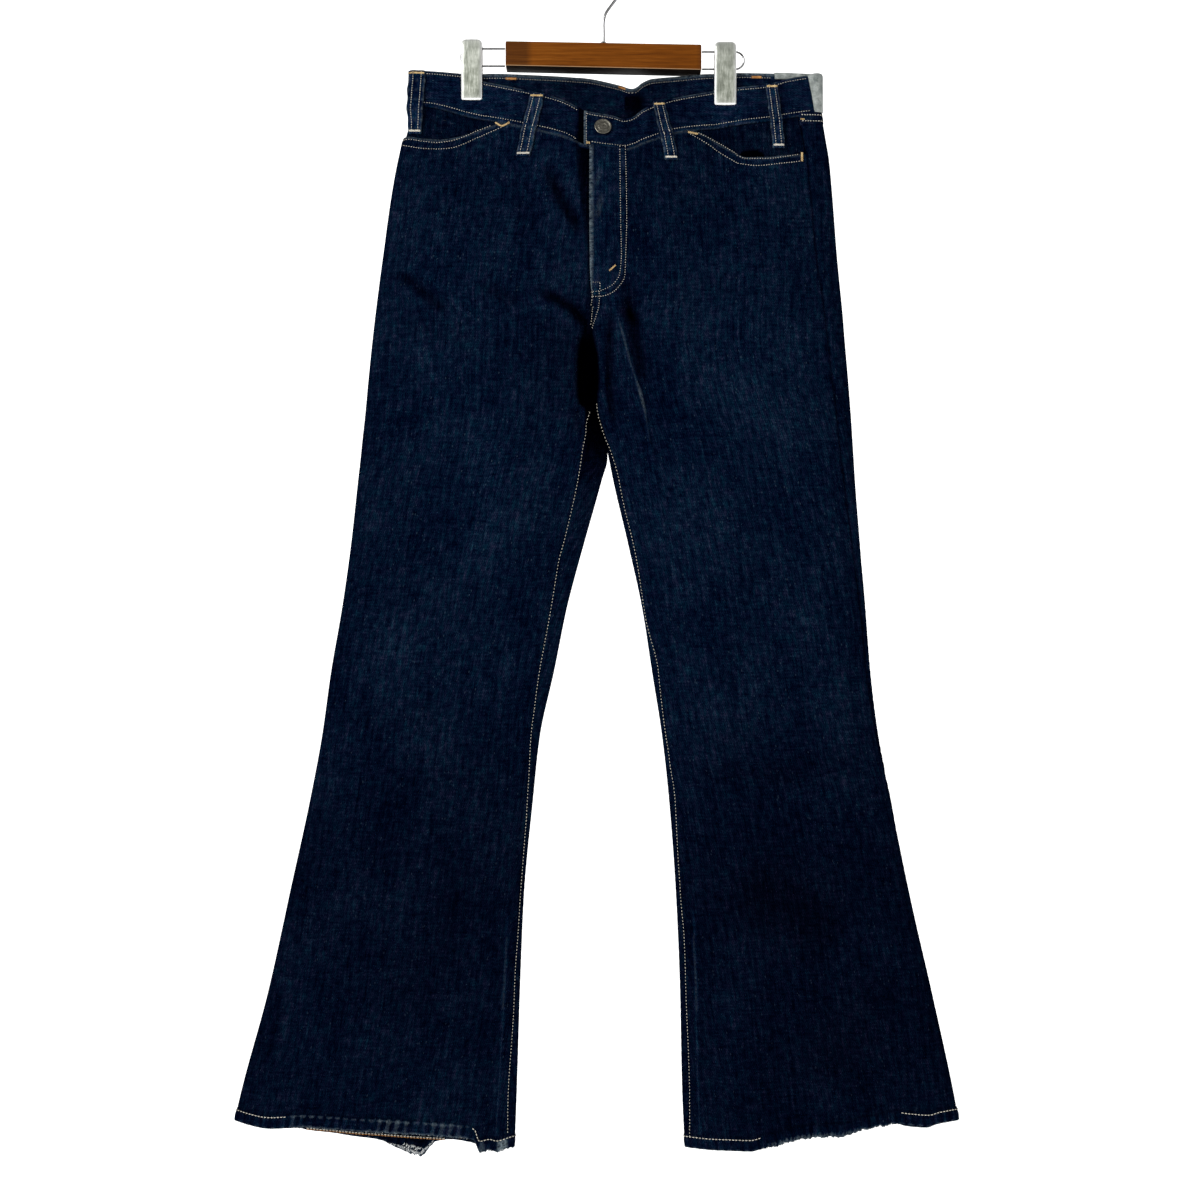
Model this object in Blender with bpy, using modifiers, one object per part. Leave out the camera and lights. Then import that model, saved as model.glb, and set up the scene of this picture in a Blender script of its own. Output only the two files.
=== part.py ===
# Bootcut jeans hanging flat from a wooden clip hanger.
#
# Frame: origin at the inside top of the hanger's hook, +Z up, +X to the right
# as seen from in front, the front of the jeans facing -Y. Sizes below are in
# millimetres; "drop" is the distance below the origin. "R" and "L" are the
# wearer's right and left, so the R leg is on the -X side.

import math

import bpy
import numpy as np

MM = 0.001

# ---------------------------------------------------------------- sizes
CLOTH = 1.4  # wall of one denim panel
SEAM_GAP = 0.5  # space left between two pieces at a seam
ROW_GAP = 1.4  # the same along a curved seam, whose two sides are faceted apart
LAYER_GAP = 1.0  # space left between a piece and the one it lies on
BAND_WALL = 3.0  # folded waistband, both layers and the turned edge
BAND_PROUD = 0.6  # how far the waistband stands outside the panels
FOLD_RADIUS = 6.0  # roundness of the waistband where it folds at the sides
CROTCH = 367.0  # drop of the fork
HEM_HIGH = 13.0
HEM_WALL = 2.8
LOOP_WALL = 2.0
PATCH_WALL = 1.2
YOKE_SIDE, YOKE_CENTRE = 10.0, 62.0  # yoke's height at side seam and centre back
FRONT_EYE = (-3.5, 636.0, 2000.0)  # x, drop and distance of the front elevation's eye

# Folded edges of the flat jeans, and how far front and back stand from the
# plane between them. inner_R and inner_L are the centre line above the crotch
# and the inner folds of the legs below it.
SECTIONS = [
    # drop  outer_R inner_R inner_L outer_L front back
    (100, -194.5, -11.8, -11.2, 216.5, 16.0, 18.0),
    (148, -194.6, -11.8, -11.2, 218.0, 17.0, 20.0),
    (172, -199.5, -11.8, -11.2, 221.5, 18.0, 22.0),
    (196, -205.5, -11.8, -11.2, 225.5, 19.5, 24.0),
    (228, -211.5, -11.8, -11.2, 228.5, 21.0, 27.0),
    (292, -220.5, -11.8, -11.2, 233.5, 23.0, 30.0),
    (367, -230.0, -11.8, -11.2, 240.5, 22.0, 27.0),
    (420, -235.5, -10.8, -10.0, 245.0, 21.5, 23.0),
    (452, -238.5, -5.8, -4.9, 247.5, 21.0, 22.0),
    (492, -242.8, 4.1, 5.1, 250.0, 20.0, 20.0),
    (516, -245.5, -1.5, 9.5, 251.5, 20.0, 20.0),
    (580, -252.5, -19.5, 24.5, 256.5, 19.0, 19.0),
    (644, -261.5, -36.5, 38.5, 261.5, 18.0, 18.0),
    (708, -272.5, -49.5, 48.5, 266.5, 17.0, 17.0),
    (772, -281.5, -63.5, 58.5, 274.5, 16.5, 16.0),
    (836, -293.5, -70.5, 65.5, 287.5, 16.0, 16.0),
    (932, -314.5, -79.5, 72.5, 306.5, 15.5, 15.0),
    (1028, -335.5, -83.5, 76.5, 328.5, 15.0, 14.5),
    (1124, -361.5, -86.5, 78.5, 349.5, 15.0, 14.0),
    (1190, -376.5, -89.0, 81.5, 361.5, 15.0, 14.0),
]

# Side and inside seams, as distances in from the folded edges, positive on
# the front and negative on the back.
SEAMS = [
    # drop  outseam_R inseam_R inseam_L outseam_L
    (100, -10.0, 0.0, 0.0, 21.0),
    (150, -10.0, 0.0, 0.0, 24.0),
    (190, -12.0, 0.0, 0.0, 23.0),
    (266, -12.0, 0.0, 0.0, 22.5),
    (367, -12.0, 0.1, 0.1, 19.0),
    (400, -12.0, 4.0, 3.0, 18.0),
    (448, -12.0, 6.0, 4.0, 16.0),
    (485, -12.0, 20.0, 6.5, 14.5),
    (516, -12.0, 24.5, 6.0, 12.5),
    (580, -12.0, 21.0, 6.0, 9.0),
    (644, -12.0, 17.0, 4.5, 5.5),
    (708, -12.0, 14.0, 6.5, 4.2),
    (772, -12.0, 9.0, 5.0, 2.0),
    (836, -11.0, 6.0, 4.8, -2.0),
    (932, -11.0, 4.8, 5.5, -6.0),
    (1028, -10.0, 6.0, 5.5, -8.0),
    (1190, -10.0, 9.0, 5.5, -9.0),
]

# The waistband: drops of its upper edge and lower seam in front and behind,
# and how far each edge stands out. It is pinched where the clips hold it and
# sags forward between them.
WAIST = [
    # x  front_top front_seam out_top out_seam  back_top back_seam back_out_top back_out_seam
    (-194.5, 108.5, 142.5, 5.0, 6.5, 108.5, 142.5, 5.0, 6.5),
    (-178.0, 109.0, 143.5, 5.0, 8.0, 108.8, 145.0, 5.0, 7.0),
    (-146.0, 111.0, 150.0, 3.6, 5.0, 110.3, 148.0, 3.6, 3.8),
    (-141.5, 111.5, 151.5, 3.6, 4.6, 110.5, 148.0, 3.6, 3.7),
    (-121.5, 118.5, 156.0, 3.6, 4.6, 110.5, 148.5, 3.6, 3.7),
    (-117.0, 119.5, 157.0, 3.6, 6.5, 110.3, 148.3, 3.6, 4.4),
    (-91.5, 125.5, 163.5, 7.0, 16.0, 109.5, 147.5, 8.0, 12.0),
    (-43.5, 138.5, 176.0, 13.0, 25.0, 109.5, 147.0, 17.0, 21.0),
    (-18.5, 151.0, 186.0, 16.5, 30.0, 109.5, 147.0, 22.0, 25.0),
    (21.5, 159.5, 191.0, 15.0, 29.5, 117.0, 154.5, 24.0, 28.0),
    (50.0, 143.5, 179.5, 9.5, 23.0, 112.5, 150.0, 19.0, 24.0),
    (69.5, 137.0, 172.5, 7.5, 19.0, 110.5, 148.0, 15.0, 20.0),
    (106.5, 129.2, 165.7, 3.6, 7.0, 110.5, 148.0, 3.6, 4.6),
    (111.0, 128.4, 165.0, 3.6, 4.8, 110.5, 148.0, 3.6, 3.7),
    (132.0, 125.1, 161.6, 3.6, 4.8, 109.5, 147.0, 3.6, 3.7),
    (136.5, 124.6, 161.0, 3.6, 6.5, 109.4, 147.0, 3.6, 4.4),
    (162.5, 122.5, 158.5, 5.0, 9.0, 109.5, 147.0, 5.0, 7.5),
    (183.5, 117.0, 155.0, 5.5, 8.0, 110.0, 148.0, 5.5, 7.0),
    (216.5, 111.5, 150.0, 5.0, 6.5, 111.5, 150.0, 5.0, 6.5),
]
LAP_TO = -18.5  # the buttoned end of the band, over the other one
UNDER_TO = 24.0  # the end beneath it

# Scooped pocket mouths: drop of the front panel's upper edge.
MOUTH_R = [  # x  edge
    (-206.0, 178.0),
    (-196.0, 174.0),
    (-180.0, 176.5),
    (-164.0, 177.5),
    (-149.5, 175.5),
    (-134.8, 171.5),
    (-119.0, 166.0),
    (-106.0, 162.5),
]
MOUTH_L = [
    (92.0, 170.5),
    (103.0, 174.0),
    (112.5, 179.5),
    (129.2, 189.5),
    (142.5, 196.0),
    (162.5, 196.0),
    (180.0, 193.5),
    (200.0, 191.5),
]

# Lower edge of each leg, front and back.
HEMS = [
    # x  front back
    (-371.0, 1157.0, 1158.5),
    (-348.0, 1164.5, 1165.0),
    (-316.0, 1166.5, 1170.0),
    (-276.0, 1168.0, 1174.0),
    (-218.0, 1171.0, 1180.0),
    (-167.0, 1175.5, 1184.0),
    (-135.0, 1180.5, 1186.0),
    (-110.0, 1188.5, 1188.0),
    (-89.0, 1188.0, 1188.0),
    (83.0, 1188.0, 1188.0),
    (117.5, 1190.0, 1189.0),
    (140.0, 1190.0, 1188.0),
    (178.5, 1182.0, 1184.0),
    (226.5, 1175.5, 1179.0),
    (267.5, 1167.0, 1173.0),
    (298.0, 1162.5, 1166.0),
    (330.0, 1160.0, 1163.0),
    (357.0, 1160.5, 1161.0),
]

# Largest folds: a ridge (positive height) or trough on the front between two
# points, as wide and high as given.
FOLDS = [
    # x0  drop0  x1  drop1  width  height
    (16.0, 350.0, 50.0, 500.0, 16.0, 3.5),
    (30.0, 355.0, 46.0, 420.0, 12.0, -4.0),
    (80.0, 812.0, 250.0, 788.0, 22.0, -4.0),
    (125.0, 905.0, 240.0, 985.0, 34.0, -4.5),
    (-240.0, 560.0, -120.0, 620.0, 30.0, 2.5),
    (-120.0, 880.0, -200.0, 1010.0, 34.0, -3.0),
]

# Belt loops: the view's left and right edges at top and bottom.
LOOPS = [
    # name  face  top_x0 top_x1 top_drop  low_x0 low_x1 low_drop
    ("belt_loop_1", "front", -193.2, -178.2, 107.5, -194.0, -182.5, 169.5),
    ("belt_loop_2", "front", -72.2, -59.2, 130.0, -86.4, -73.4, 191.8),
    ("belt_loop_3", "front", 49.8, 60.6, 138.4, 61.8, 73.6, 195.5),
    ("belt_loop_4", "front", 162.8, 173.6, 120.6, 169.8, 180.6, 183.7),
    ("belt_loop_5", "back", -98.5, -86.5, 108.6, -98.5, -86.5, 171.0),
    ("belt_loop_6", "back", 15.5, 27.5, 117.0, 15.5, 27.5, 178.0),
    ("belt_loop_7", "back", 146.5, 158.5, 109.0, 146.5, 158.5, 171.0),
]

# The fly's J-shaped lap: its right-hand edge by drop.
FLY_EDGE = -11.2
FLY_J = [  # x  bottom drop
    (-11.5, 334.0),
    (2.0, 333.0),
    (9.0, 329.5),
    (15.0, 323.5),
    (19.5, 313.0),
    (22.0, 298.0),
]
FLY_RIGHT = 22.0

POCKET_TOP_WIDE, POCKET_LOW_WIDE = 152.0, 136.0  # plain back patch pockets
POCKET_HIGH, POCKET_POINT = 150.0, 22.0

BUTTON_R, BUTTON_AT = 8.5, (-0.7, 164.3)

# Hanger
BAR_LONG, BAR_DEEP, BAR_HIGH, BAR_TOP, BAR_TILT = 196.0, 22.0, 25.0, 81.5, 1.0
RAIL_R = 1.0
HOOK_R, HOOK_BEND = 1.4, 20.0
CLIPS = [
    # name  x0  x1  top  low  rail_upper rail_lower rail_out
    ("R", -141.5, -121.5, 76.5, 137.0, 84.9, 102.2, -143.6),
    ("L", 111.0, 132.0, 79.0, 142.0, 88.0, 105.3, 141.5),
]
PLATE = 1.0


# ---------------------------------------------------------------- helpers
def monotone(xs, ys):
    """A smooth curve through the points that never overshoots them."""
    xs, ys = np.asarray(xs, float), np.asarray(ys, float)
    h = np.diff(xs)
    slope = np.diff(ys) / h
    m = np.zeros(len(xs))
    m[0], m[-1] = slope[0], slope[-1]
    for i in range(1, len(xs) - 1):
        if slope[i - 1] * slope[i] > 0:
            w1, w2 = 2 * h[i] + h[i - 1], h[i] + 2 * h[i - 1]
            m[i] = (w1 + w2) / (w1 / slope[i - 1] + w2 / slope[i])

    def at(x):
        x = np.clip(x, xs[0], xs[-1])
        i = np.clip(np.searchsorted(xs, x) - 1, 0, len(xs) - 2)
        t = (x - xs[i]) / h[i]
        return (
            ys[i] * (1 + 2 * t) * (1 - t) ** 2
            + m[i] * h[i] * t * (1 - t) ** 2
            + ys[i + 1] * t * t * (3 - 2 * t)
            + m[i + 1] * h[i] * t * t * (t - 1)
        )

    return at


def column(table, key, value):
    return monotone([row[key] for row in table], [row[value] for row in table])


def smooth(t):
    t = np.clip(t, 0.0, 1.0)
    return t * t * (3 - 2 * t)


outer = {"R": column(SECTIONS, 0, 1), "L": column(SECTIONS, 0, 4)}
inner = {"R": column(SECTIONS, 0, 2), "L": column(SECTIONS, 0, 3)}
deep_front, deep_back = column(SECTIONS, 0, 5), column(SECTIONS, 0, 6)
outseam = {"R": column(SEAMS, 0, 1), "L": column(SEAMS, 0, 4)}
inseam = {"R": column(SEAMS, 0, 2), "L": column(SEAMS, 0, 3)}
front_top, front_seam = column(WAIST, 0, 1), column(WAIST, 0, 2)
front_out_top, front_out_seam = column(WAIST, 0, 3), column(WAIST, 0, 4)
back_top, back_seam = column(WAIST, 0, 5), column(WAIST, 0, 6)
back_out_top, back_out_seam = column(WAIST, 0, 7), column(WAIST, 0, 8)
mouth = {"R": column(MOUTH_R, 0, 1), "L": column(MOUTH_L, 0, 1)}
mouth_span = {"R": (-400.0, MOUTH_R[-1][0]), "L": (MOUTH_L[0][0], 400.0)}
hem_front, hem_back = column(HEMS, 0, 1), column(HEMS, 0, 2)
fly_bottom = column(FLY_J, 0, 1)


def swell(x, lo, hi, power):
    """1 in the middle of lo..hi and 0 at both ends, round like a folded edge."""
    u = np.abs((x - (lo + hi) / 2) / ((hi - lo) / 2))
    return np.sqrt(np.clip(1 - np.clip(u, 0, 1) ** power, 0, 1))


def fold_round(x, drop):
    """0 at the side folds, 1 more than FOLD_RADIUS in from them."""
    e = np.minimum(x - outer["R"](drop), outer["L"](drop) - x)
    u = 1 - np.clip(e / FOLD_RADIUS, 0, 1)
    return np.sqrt(np.clip(1 - u * u, 0, 1))


def form(x, drop, deep, seam, top, out_seam, out_top, split_from):
    """How far one face of the jeans stands from the middle plane."""
    hips = deep(drop) * swell(x, outer["R"](drop), outer["L"](drop), 3.0)
    leg_r = swell(x, outer["R"](drop), inner["R"](drop), 2.4)
    leg_l = swell(x, inner["L"](drop), outer["L"](drop), 2.4)
    legs = deep(drop) * np.where(x < (inner["R"](drop) + inner["L"](drop)) / 2, leg_r, leg_l)
    body = hips + (legs - hips) * smooth((drop - split_from) / (CROTCH - split_from))
    lean = np.clip((seam(x) - drop) / (seam(x) - top(x)), 0, 1)
    lean = 1 - (1 - lean) ** 2.0
    waist = (out_seam(x) + (out_top(x) - out_seam(x)) * lean) * fold_round(x, drop)
    return body + (waist - body) * (1 - smooth((drop - seam(x)) / 130.0))


def folds(x, drop):
    total = 0.0 * x
    for x0, d0, x1, d1, width, height in FOLDS:
        ax, ad = x1 - x0, d1 - d0
        t = ((x - x0) * ax + (drop - d0) * ad) / (ax * ax + ad * ad)
        off = np.hypot(x - x0 - t * ax, drop - d0 - t * ad)
        along = smooth(t / 0.3) * smooth((1 - t) / 0.3)
        total = total + height * along * np.exp(-((off / (width / 2)) ** 2))
    return total


def front_out(x, drop):
    base = form(x, drop, deep_front, front_seam, front_top, front_out_seam, front_out_top, 296.0)
    return base + folds(x, drop) * np.clip(base / 10.0, 0, 1)


def back_out(x, drop):
    return form(x, drop, deep_back, back_seam, back_top, back_out_seam, back_out_top, 280.0)


def seen(x, drop):
    """The (x, drop) on the front of the cloth that the front elevation shows
    at this x and drop of the middle plane."""
    ex, ed, far = FRONT_EYE
    ax, ad = x, drop
    for _ in range(6):
        nearer = 1 - front_out(np.float64(ax), np.float64(ad)) / far
        ax, ad = ex + (x - ex) * nearer, ed + (drop - ed) * nearer
    return float(ax), float(ad)


def on_face(face, x, drop, out):
    """A point this far outside one face of the jeans."""
    f, sign = (front_out, -1.0) if face == "front" else (back_out, 1.0)
    x, drop = np.float64(x), np.float64(drop)
    y = f(x, drop)
    dx = (f(x + 0.5, drop) - f(x - 0.5, drop)) / 1.0
    dd = (f(x, drop + 0.5) - f(x, drop - 0.5)) / 1.0
    n = np.array([-dx, sign, dd])
    n /= np.linalg.norm(n)
    return np.array([x, sign * y, -drop]) + out * n


RING_STEPS = 80
RING_FROM, RING_EVERY, RING_COUNT = 90.0, 2.5, 448


def section(side, drop):
    """One half of the cross-section, from the outer fold to the centre or to
    the inner fold: x, then y and the length of cloth for front and back."""
    xo, xi = float(outer[side](drop)), float(inner[side](drop))
    k = (1 - np.cos(np.linspace(0, math.pi, RING_STEPS + 1))) / 2
    x = xo + (xi - xo) * k
    d = np.full_like(x, drop)
    fy, by = -front_out(x, d), back_out(x, d)
    fy[0] = by[0] = 0.0
    if drop >= CROTCH:
        fy[-1] = by[-1] = 0.0
    fs = np.concatenate([[0], np.cumsum(np.hypot(np.diff(x), np.diff(fy)))])
    bs = np.concatenate([[0], np.cumsum(np.hypot(np.diff(x), np.diff(by)))])
    return np.array([x, fy, fs, by, bs])


SECTION_RINGS = {
    side: [section(side, RING_FROM + RING_EVERY * i) for i in range(RING_COUNT)] for side in "RL"
}


def ring(side, drop):
    """The cross-section at any drop, read between the stored ones."""
    at = (drop - RING_FROM) / RING_EVERY
    i = min(max(int(at), 0), RING_COUNT - 2)
    rows = SECTION_RINGS[side]
    return rows[i] + (rows[i + 1] - rows[i]) * (at - i)


def length_at(xs, ss, x):
    order = np.argsort(xs)
    return float(np.interp(x, xs[order], ss[order]))


def along(side, s, drop):
    """The point at this length of cloth from the outer fold, positive in
    front. Past the centre of a leg it carries on round the inner fold."""
    x, fy, fs, by, bs = ring(side, drop)
    if drop >= CROTCH:
        if s > fs[-1]:
            s = -(bs[-1] - (s - fs[-1]))
        elif s < -bs[-1]:
            s = fs[-1] - (-s - bs[-1])
    if s >= 0:
        return np.array([np.interp(s, fs, x), np.interp(s, fs, fy), -drop])
    return np.array([np.interp(-s, bs, x), np.interp(-s, bs, by), -drop])


def with_normal(side, s, drop, out):
    """along(), moved out from the cloth by this much."""
    p = along(side, s, drop)
    ds = 1.2
    a, b = along(side, s + ds, drop), along(side, s - ds, drop)
    c, d = along(side, s, drop + 1.5), along(side, s, drop - 1.5)
    if drop < CROTCH <= drop + 1.5:
        c = p
    if drop - 1.5 < CROTCH <= drop:
        d = p
    n = np.cross(a - b, c - d)
    n /= np.linalg.norm(n)
    if side == "R":
        n = -n
    return p + out * n


def edge_lengths(side, drop):
    """Length of cloth from the outer fold to the side seam, and to the centre
    or inside seam by the front and by the back."""
    x, fy, fs, by, bs = ring(side, drop)
    sign = 1 if side == "R" else -1
    e = float(outseam[side](drop))
    xo = float(outer[side](drop))
    side_at = length_at(x, fs, xo + sign * e) if e >= 0 else -length_at(x, bs, xo - sign * e)
    wrap = 0.0
    if drop >= CROTCH:
        xi = float(inner[side](drop))
        wrap = fs[-1] - length_at(x, fs, xi - sign * float(inseam[side](drop)))
    return side_at, fs[-1] - wrap, bs[-1] + wrap


# ---------------------------------------------------------------- objects
def material(name, colour, rough, metal=0.0):
    m = bpy.data.materials.new(name)
    m.use_nodes = True
    shader = m.node_tree.nodes["Principled BSDF"]
    shader.inputs["Base Color"].default_value = (*colour, 1.0)
    shader.inputs["Roughness"].default_value = rough
    shader.inputs["Metallic"].default_value = metal
    return m


def put(name, mesh, mat, smooth_shade=True):
    obj = bpy.data.objects.new(name, mesh)
    if not mesh.materials:
        mesh.materials.append(mat)
    parts.objects.link(obj)
    if smooth_shade:
        mesh.shade_smooth()
        mesh.set_sharp_from_angle(angle=math.radians(40))
    return obj


def wall(name, outer_grid, inner_grid, mat, closed=False):
    """A sheet of cloth between two grids of points, its rim closed. closed
    joins the last column to the first, as round a leg."""
    a, b = np.asarray(outer_grid), np.asarray(inner_grid)
    rows, cols = a.shape[:2]
    verts = np.concatenate([a.reshape(-1, 3), b.reshape(-1, 3)]) * MM
    at = lambda layer, r, c: layer * rows * cols + r * cols + c % cols
    faces = []
    for r in range(rows - 1):
        for c in range(cols if closed else cols - 1):
            quad = (at(0, r, c), at(0, r, c + 1), at(0, r + 1, c + 1), at(0, r + 1, c))
            faces.append(quad)
            faces.append(tuple(i + rows * cols for i in reversed(quad)))
    for c in range(cols if closed else cols - 1):
        faces.append((at(0, 0, c + 1), at(0, 0, c), at(1, 0, c), at(1, 0, c + 1)))
        r = rows - 1
        faces.append((at(0, r, c), at(0, r, c + 1), at(1, r, c + 1), at(1, r, c)))
    if not closed:
        for r in range(rows - 1):
            faces.append((at(0, r, 0), at(0, r + 1, 0), at(1, r + 1, 0), at(1, r, 0)))
            c = cols - 1
            faces.append((at(0, r + 1, c), at(0, r, c), at(1, r, c), at(1, r + 1, c)))
    mesh = bpy.data.meshes.new(name)
    mesh.from_pydata(verts.tolist(), [], faces)
    mesh.validate()
    # Turn the faces out if the grid ran the other way round.
    corners = [np.array([verts[i] for i in f]) for f in faces]
    volume = sum(
        np.dot(q[0], np.cross(q[1], q[2])) + np.dot(q[0], np.cross(q[2], q[3])) for q in corners
    )
    if volume < 0:
        mesh.flip_normals()
    return put(name, mesh, mat)


def sheet(name, point, us, vs, out, thick, mat, closed=False):
    """A wall whose outer face is point(u, v, out) over the given us and vs."""
    a = [[point(u, v, out) for u in us] for v in vs]
    b = [[point(u, v, out - thick) for u in us] for v in vs]
    return wall(name, a, b, mat, closed)


def spread(n, tight_start=(), tight_end=()):
    """Fractions from 0 to 1, n even steps with some extra ones at the ends."""
    even = np.linspace(0, 1, n + 1)
    more = [*tight_start, *(1 - t for t in tight_end)]
    return sorted({round(float(t), 5) for t in (*even, *more)})


# Start from an empty scene.
for obj in list(bpy.data.objects):
    bpy.data.objects.remove(obj, do_unlink=True)
parts = bpy.data.collections.new("bootcut_jeans_on_hanger")
bpy.context.scene.collection.children.link(parts)

denim = material("denim", (0.012, 0.022, 0.05), 0.85)
denim_band = material("denim_band", (0.013, 0.025, 0.052), 0.85)
denim_pocket = material("denim_pocket", (0.011, 0.02, 0.045), 0.88)
denim_hem = material("denim_hem", (0.02, 0.03, 0.05), 0.88)
denim_loop = material("denim_loop", (0.014, 0.027, 0.055), 0.85)
patch_mat = material("patch", (0.33, 0.35, 0.33), 0.7)
button_mat = material("button_metal", (0.09, 0.08, 0.08), 0.45, 1.0)
wood = material("wood", (0.2, 0.06, 0.02), 0.35)
steel = material("clip_steel", (0.55, 0.56, 0.53), 0.32, 1.0)
wire_mat = material("wire_steel", (0.6, 0.6, 0.6), 0.2, 1.0)


# ---------------------------------------------------------------- panels
def panel_drop(x, nominal, top, bottom):
    """Rows follow the upper edge at the top, the hem at the bottom, and run
    level between."""
    d = nominal
    d = d + (top - 176.0) * (1 - float(smooth((nominal - 176.0) / 240.0)))
    return d + (bottom - 1160.0) * float(smooth((nominal - 960.0) / 200.0))


def front_upper(side, x):
    lo, hi = mouth_span[side]
    seam = float(front_seam(x))
    if lo <= x <= hi:
        return max(seam, float(mouth[side](x)))
    return seam


ROWS = [176, 190, 214, 250, 290, 325, 348, 360, 372, 392, 424, 458, 490, 516, 575, 640, 710]
ROWS += [790, 870, 960, 1050, 1110, 1160]
# Each cut panel is four solids, one above the other, so that every wall stays
# thin and the legs stay hollow.
LEVELS = [("hip", 176, 372), ("thigh", 372, 575), ("knee", 575, 870), ("shin", 870, 1160)]
LEVEL_GAP = 0.3


def level_rows(low, high):
    start = low if low == ROWS[0] else low + LEVEL_GAP
    return [start, *(r for r in ROWS if low < r < high), high]


def front_point(side):
    def point(u, nominal, out):
        drop = float(nominal)
        for _ in range(3):
            a, b, _ = edge_lengths(side, drop)
            a, b = a + SEAM_GAP / 2, b - SEAM_GAP / 2
            s = a + (b - a) * u
            x = along(side, s, drop)[0]
            top = front_upper(side, x) + ROW_GAP
            drop = panel_drop(x, nominal, top, float(hem_front(x)) - HEM_HIGH - ROW_GAP)
        return with_normal(side, s, drop, out)

    return point


for side in "RL":
    near_fold = (0.02, 0.045, 0.07, 0.1) if side == "R" else (0.04,)
    near_centre = (0.025,) if side == "R" else (0.03, 0.07, 0.14, 0.18)
    us = spread(9, near_fold, near_centre)
    for level, low, high in LEVELS:
        name = f"front_panel_{side}_{level}"
        sheet(name, front_point(side), us, level_rows(low, high), 0.0, CLOTH, denim)


def yoke_seam(side, x):
    """The yoke's lower seam: low at centre back, close to the band at the side."""
    xo = float(outer[side](150.0))
    t = min(1.0, abs(x - xo) / abs(xo + 11.5))
    return float(back_seam(x)) + YOKE_SIDE + (YOKE_CENTRE - YOKE_SIDE) * t**0.9


def back_upper(side, x, s):
    """The back panel's or yoke's limits above: s > 0 is in front of the fold."""
    if s > 0:
        return float(front_seam(x)), float(front_seam(x)) + YOKE_SIDE
    return float(back_seam(x)), yoke_seam(side, x)


def back_point(side):
    def point(u, nominal, out):
        drop = float(nominal)
        for _ in range(3):
            a, _, b = edge_lengths(side, drop)
            s0, s1 = a - SEAM_GAP / 2, -(b - SEAM_GAP / 2)
            s = s0 + (s1 - s0) * u
            x = along(side, s, drop)[0]
            hem = hem_front(x) if s > 0 or u > 0.93 else hem_back(x)
            top = back_upper(side, x, s)[1] + ROW_GAP
            drop = panel_drop(x, nominal, top, float(hem) - HEM_HIGH - ROW_GAP)
        return with_normal(side, s, drop, out)

    return point


def yoke_point(side):
    def point(u, v, out):
        drop = 165.0
        for _ in range(4):
            a, _, b = edge_lengths(side, drop)
            s0, s1 = a - SEAM_GAP / 2, -(b - SEAM_GAP / 2)
            s = s0 + (s1 - s0) * u
            x = along(side, s, drop)[0]
            top, low = back_upper(side, x, s)
            drop = top + ROW_GAP + (low - top - ROW_GAP) * v
        return with_normal(side, s, drop, out)

    return point


for side in "RL":
    near_side = (0.02, 0.05) if side == "R" else (0.03, 0.06, 0.08, 0.1, 0.13)
    us = spread(9, near_side, (0.02, 0.04, 0.065))
    for level, low, high in LEVELS:
        name = f"back_panel_{side}_{level}"
        sheet(name, back_point(side), us, level_rows(low, high), 0.0, CLOTH, denim)
    us = spread(12, near_side, ())
    sheet(f"yoke_{side}", yoke_point(side), us, (0, 0.5, 1), 0.0, CLOTH, denim)


# ---------------------------------------------------------------- hems
def hem_point(side):
    """Round the leg: u from 0 to 1 starts at the outer fold, over the front."""

    def point(u, v, out):
        drop = 1175.0
        for _ in range(3):
            _, _, fs, _, bs = ring(side, drop)
            total = fs[-1] + bs[-1]
            s = u * total
            if s > fs[-1]:
                s = s - total
            x = along(side, s, drop)[0]
            share = 0.5 + 0.5 * float(np.clip(s / 25.0, -1, 1))
            edge = abs(x - float(inner[side](drop)))
            share = 0.5 if edge < 1.0 else share
            low = float(hem_front(x)) * share + float(hem_back(x)) * (1 - share)
            drop = low - HEM_HIGH * (1 - v)
        return with_normal(side, s, drop, out)

    return point


HEM_US = sorted(
    {0.0, 0.008, 0.02, 0.04, 0.46, 0.48, 0.492, 0.5, 0.508, 0.52, 0.54, 0.96, 0.98, 0.992}
    | {round(float(u), 4) for u in np.linspace(0.07, 0.43, 10)}
    | {round(float(u), 4) for u in np.linspace(0.57, 0.93, 10)}
)
for side in "RL":
    sheet(f"hem_{side}", hem_point(side), HEM_US, (0, 1), 0.4, HEM_WALL, denim_hem, closed=True)


# ---------------------------------------------------------------- waistband
def band_column(face, x, tuck):
    """Outer and inner points of the band at its top, middle and seam."""
    grid = []
    for t in (0.0, 0.3, 0.65, 1.0):
        if face == "front":
            drop = float(front_top(x)) + (float(front_seam(x)) - float(front_top(x))) * t
        else:
            drop = float(back_top(x)) + (float(back_seam(x)) - float(back_top(x))) * t
        out = BAND_PROUD - tuck
        grid.append((on_face(face, x, drop, out), on_face(face, x, drop, out - BAND_WALL)))
    return grid


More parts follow.
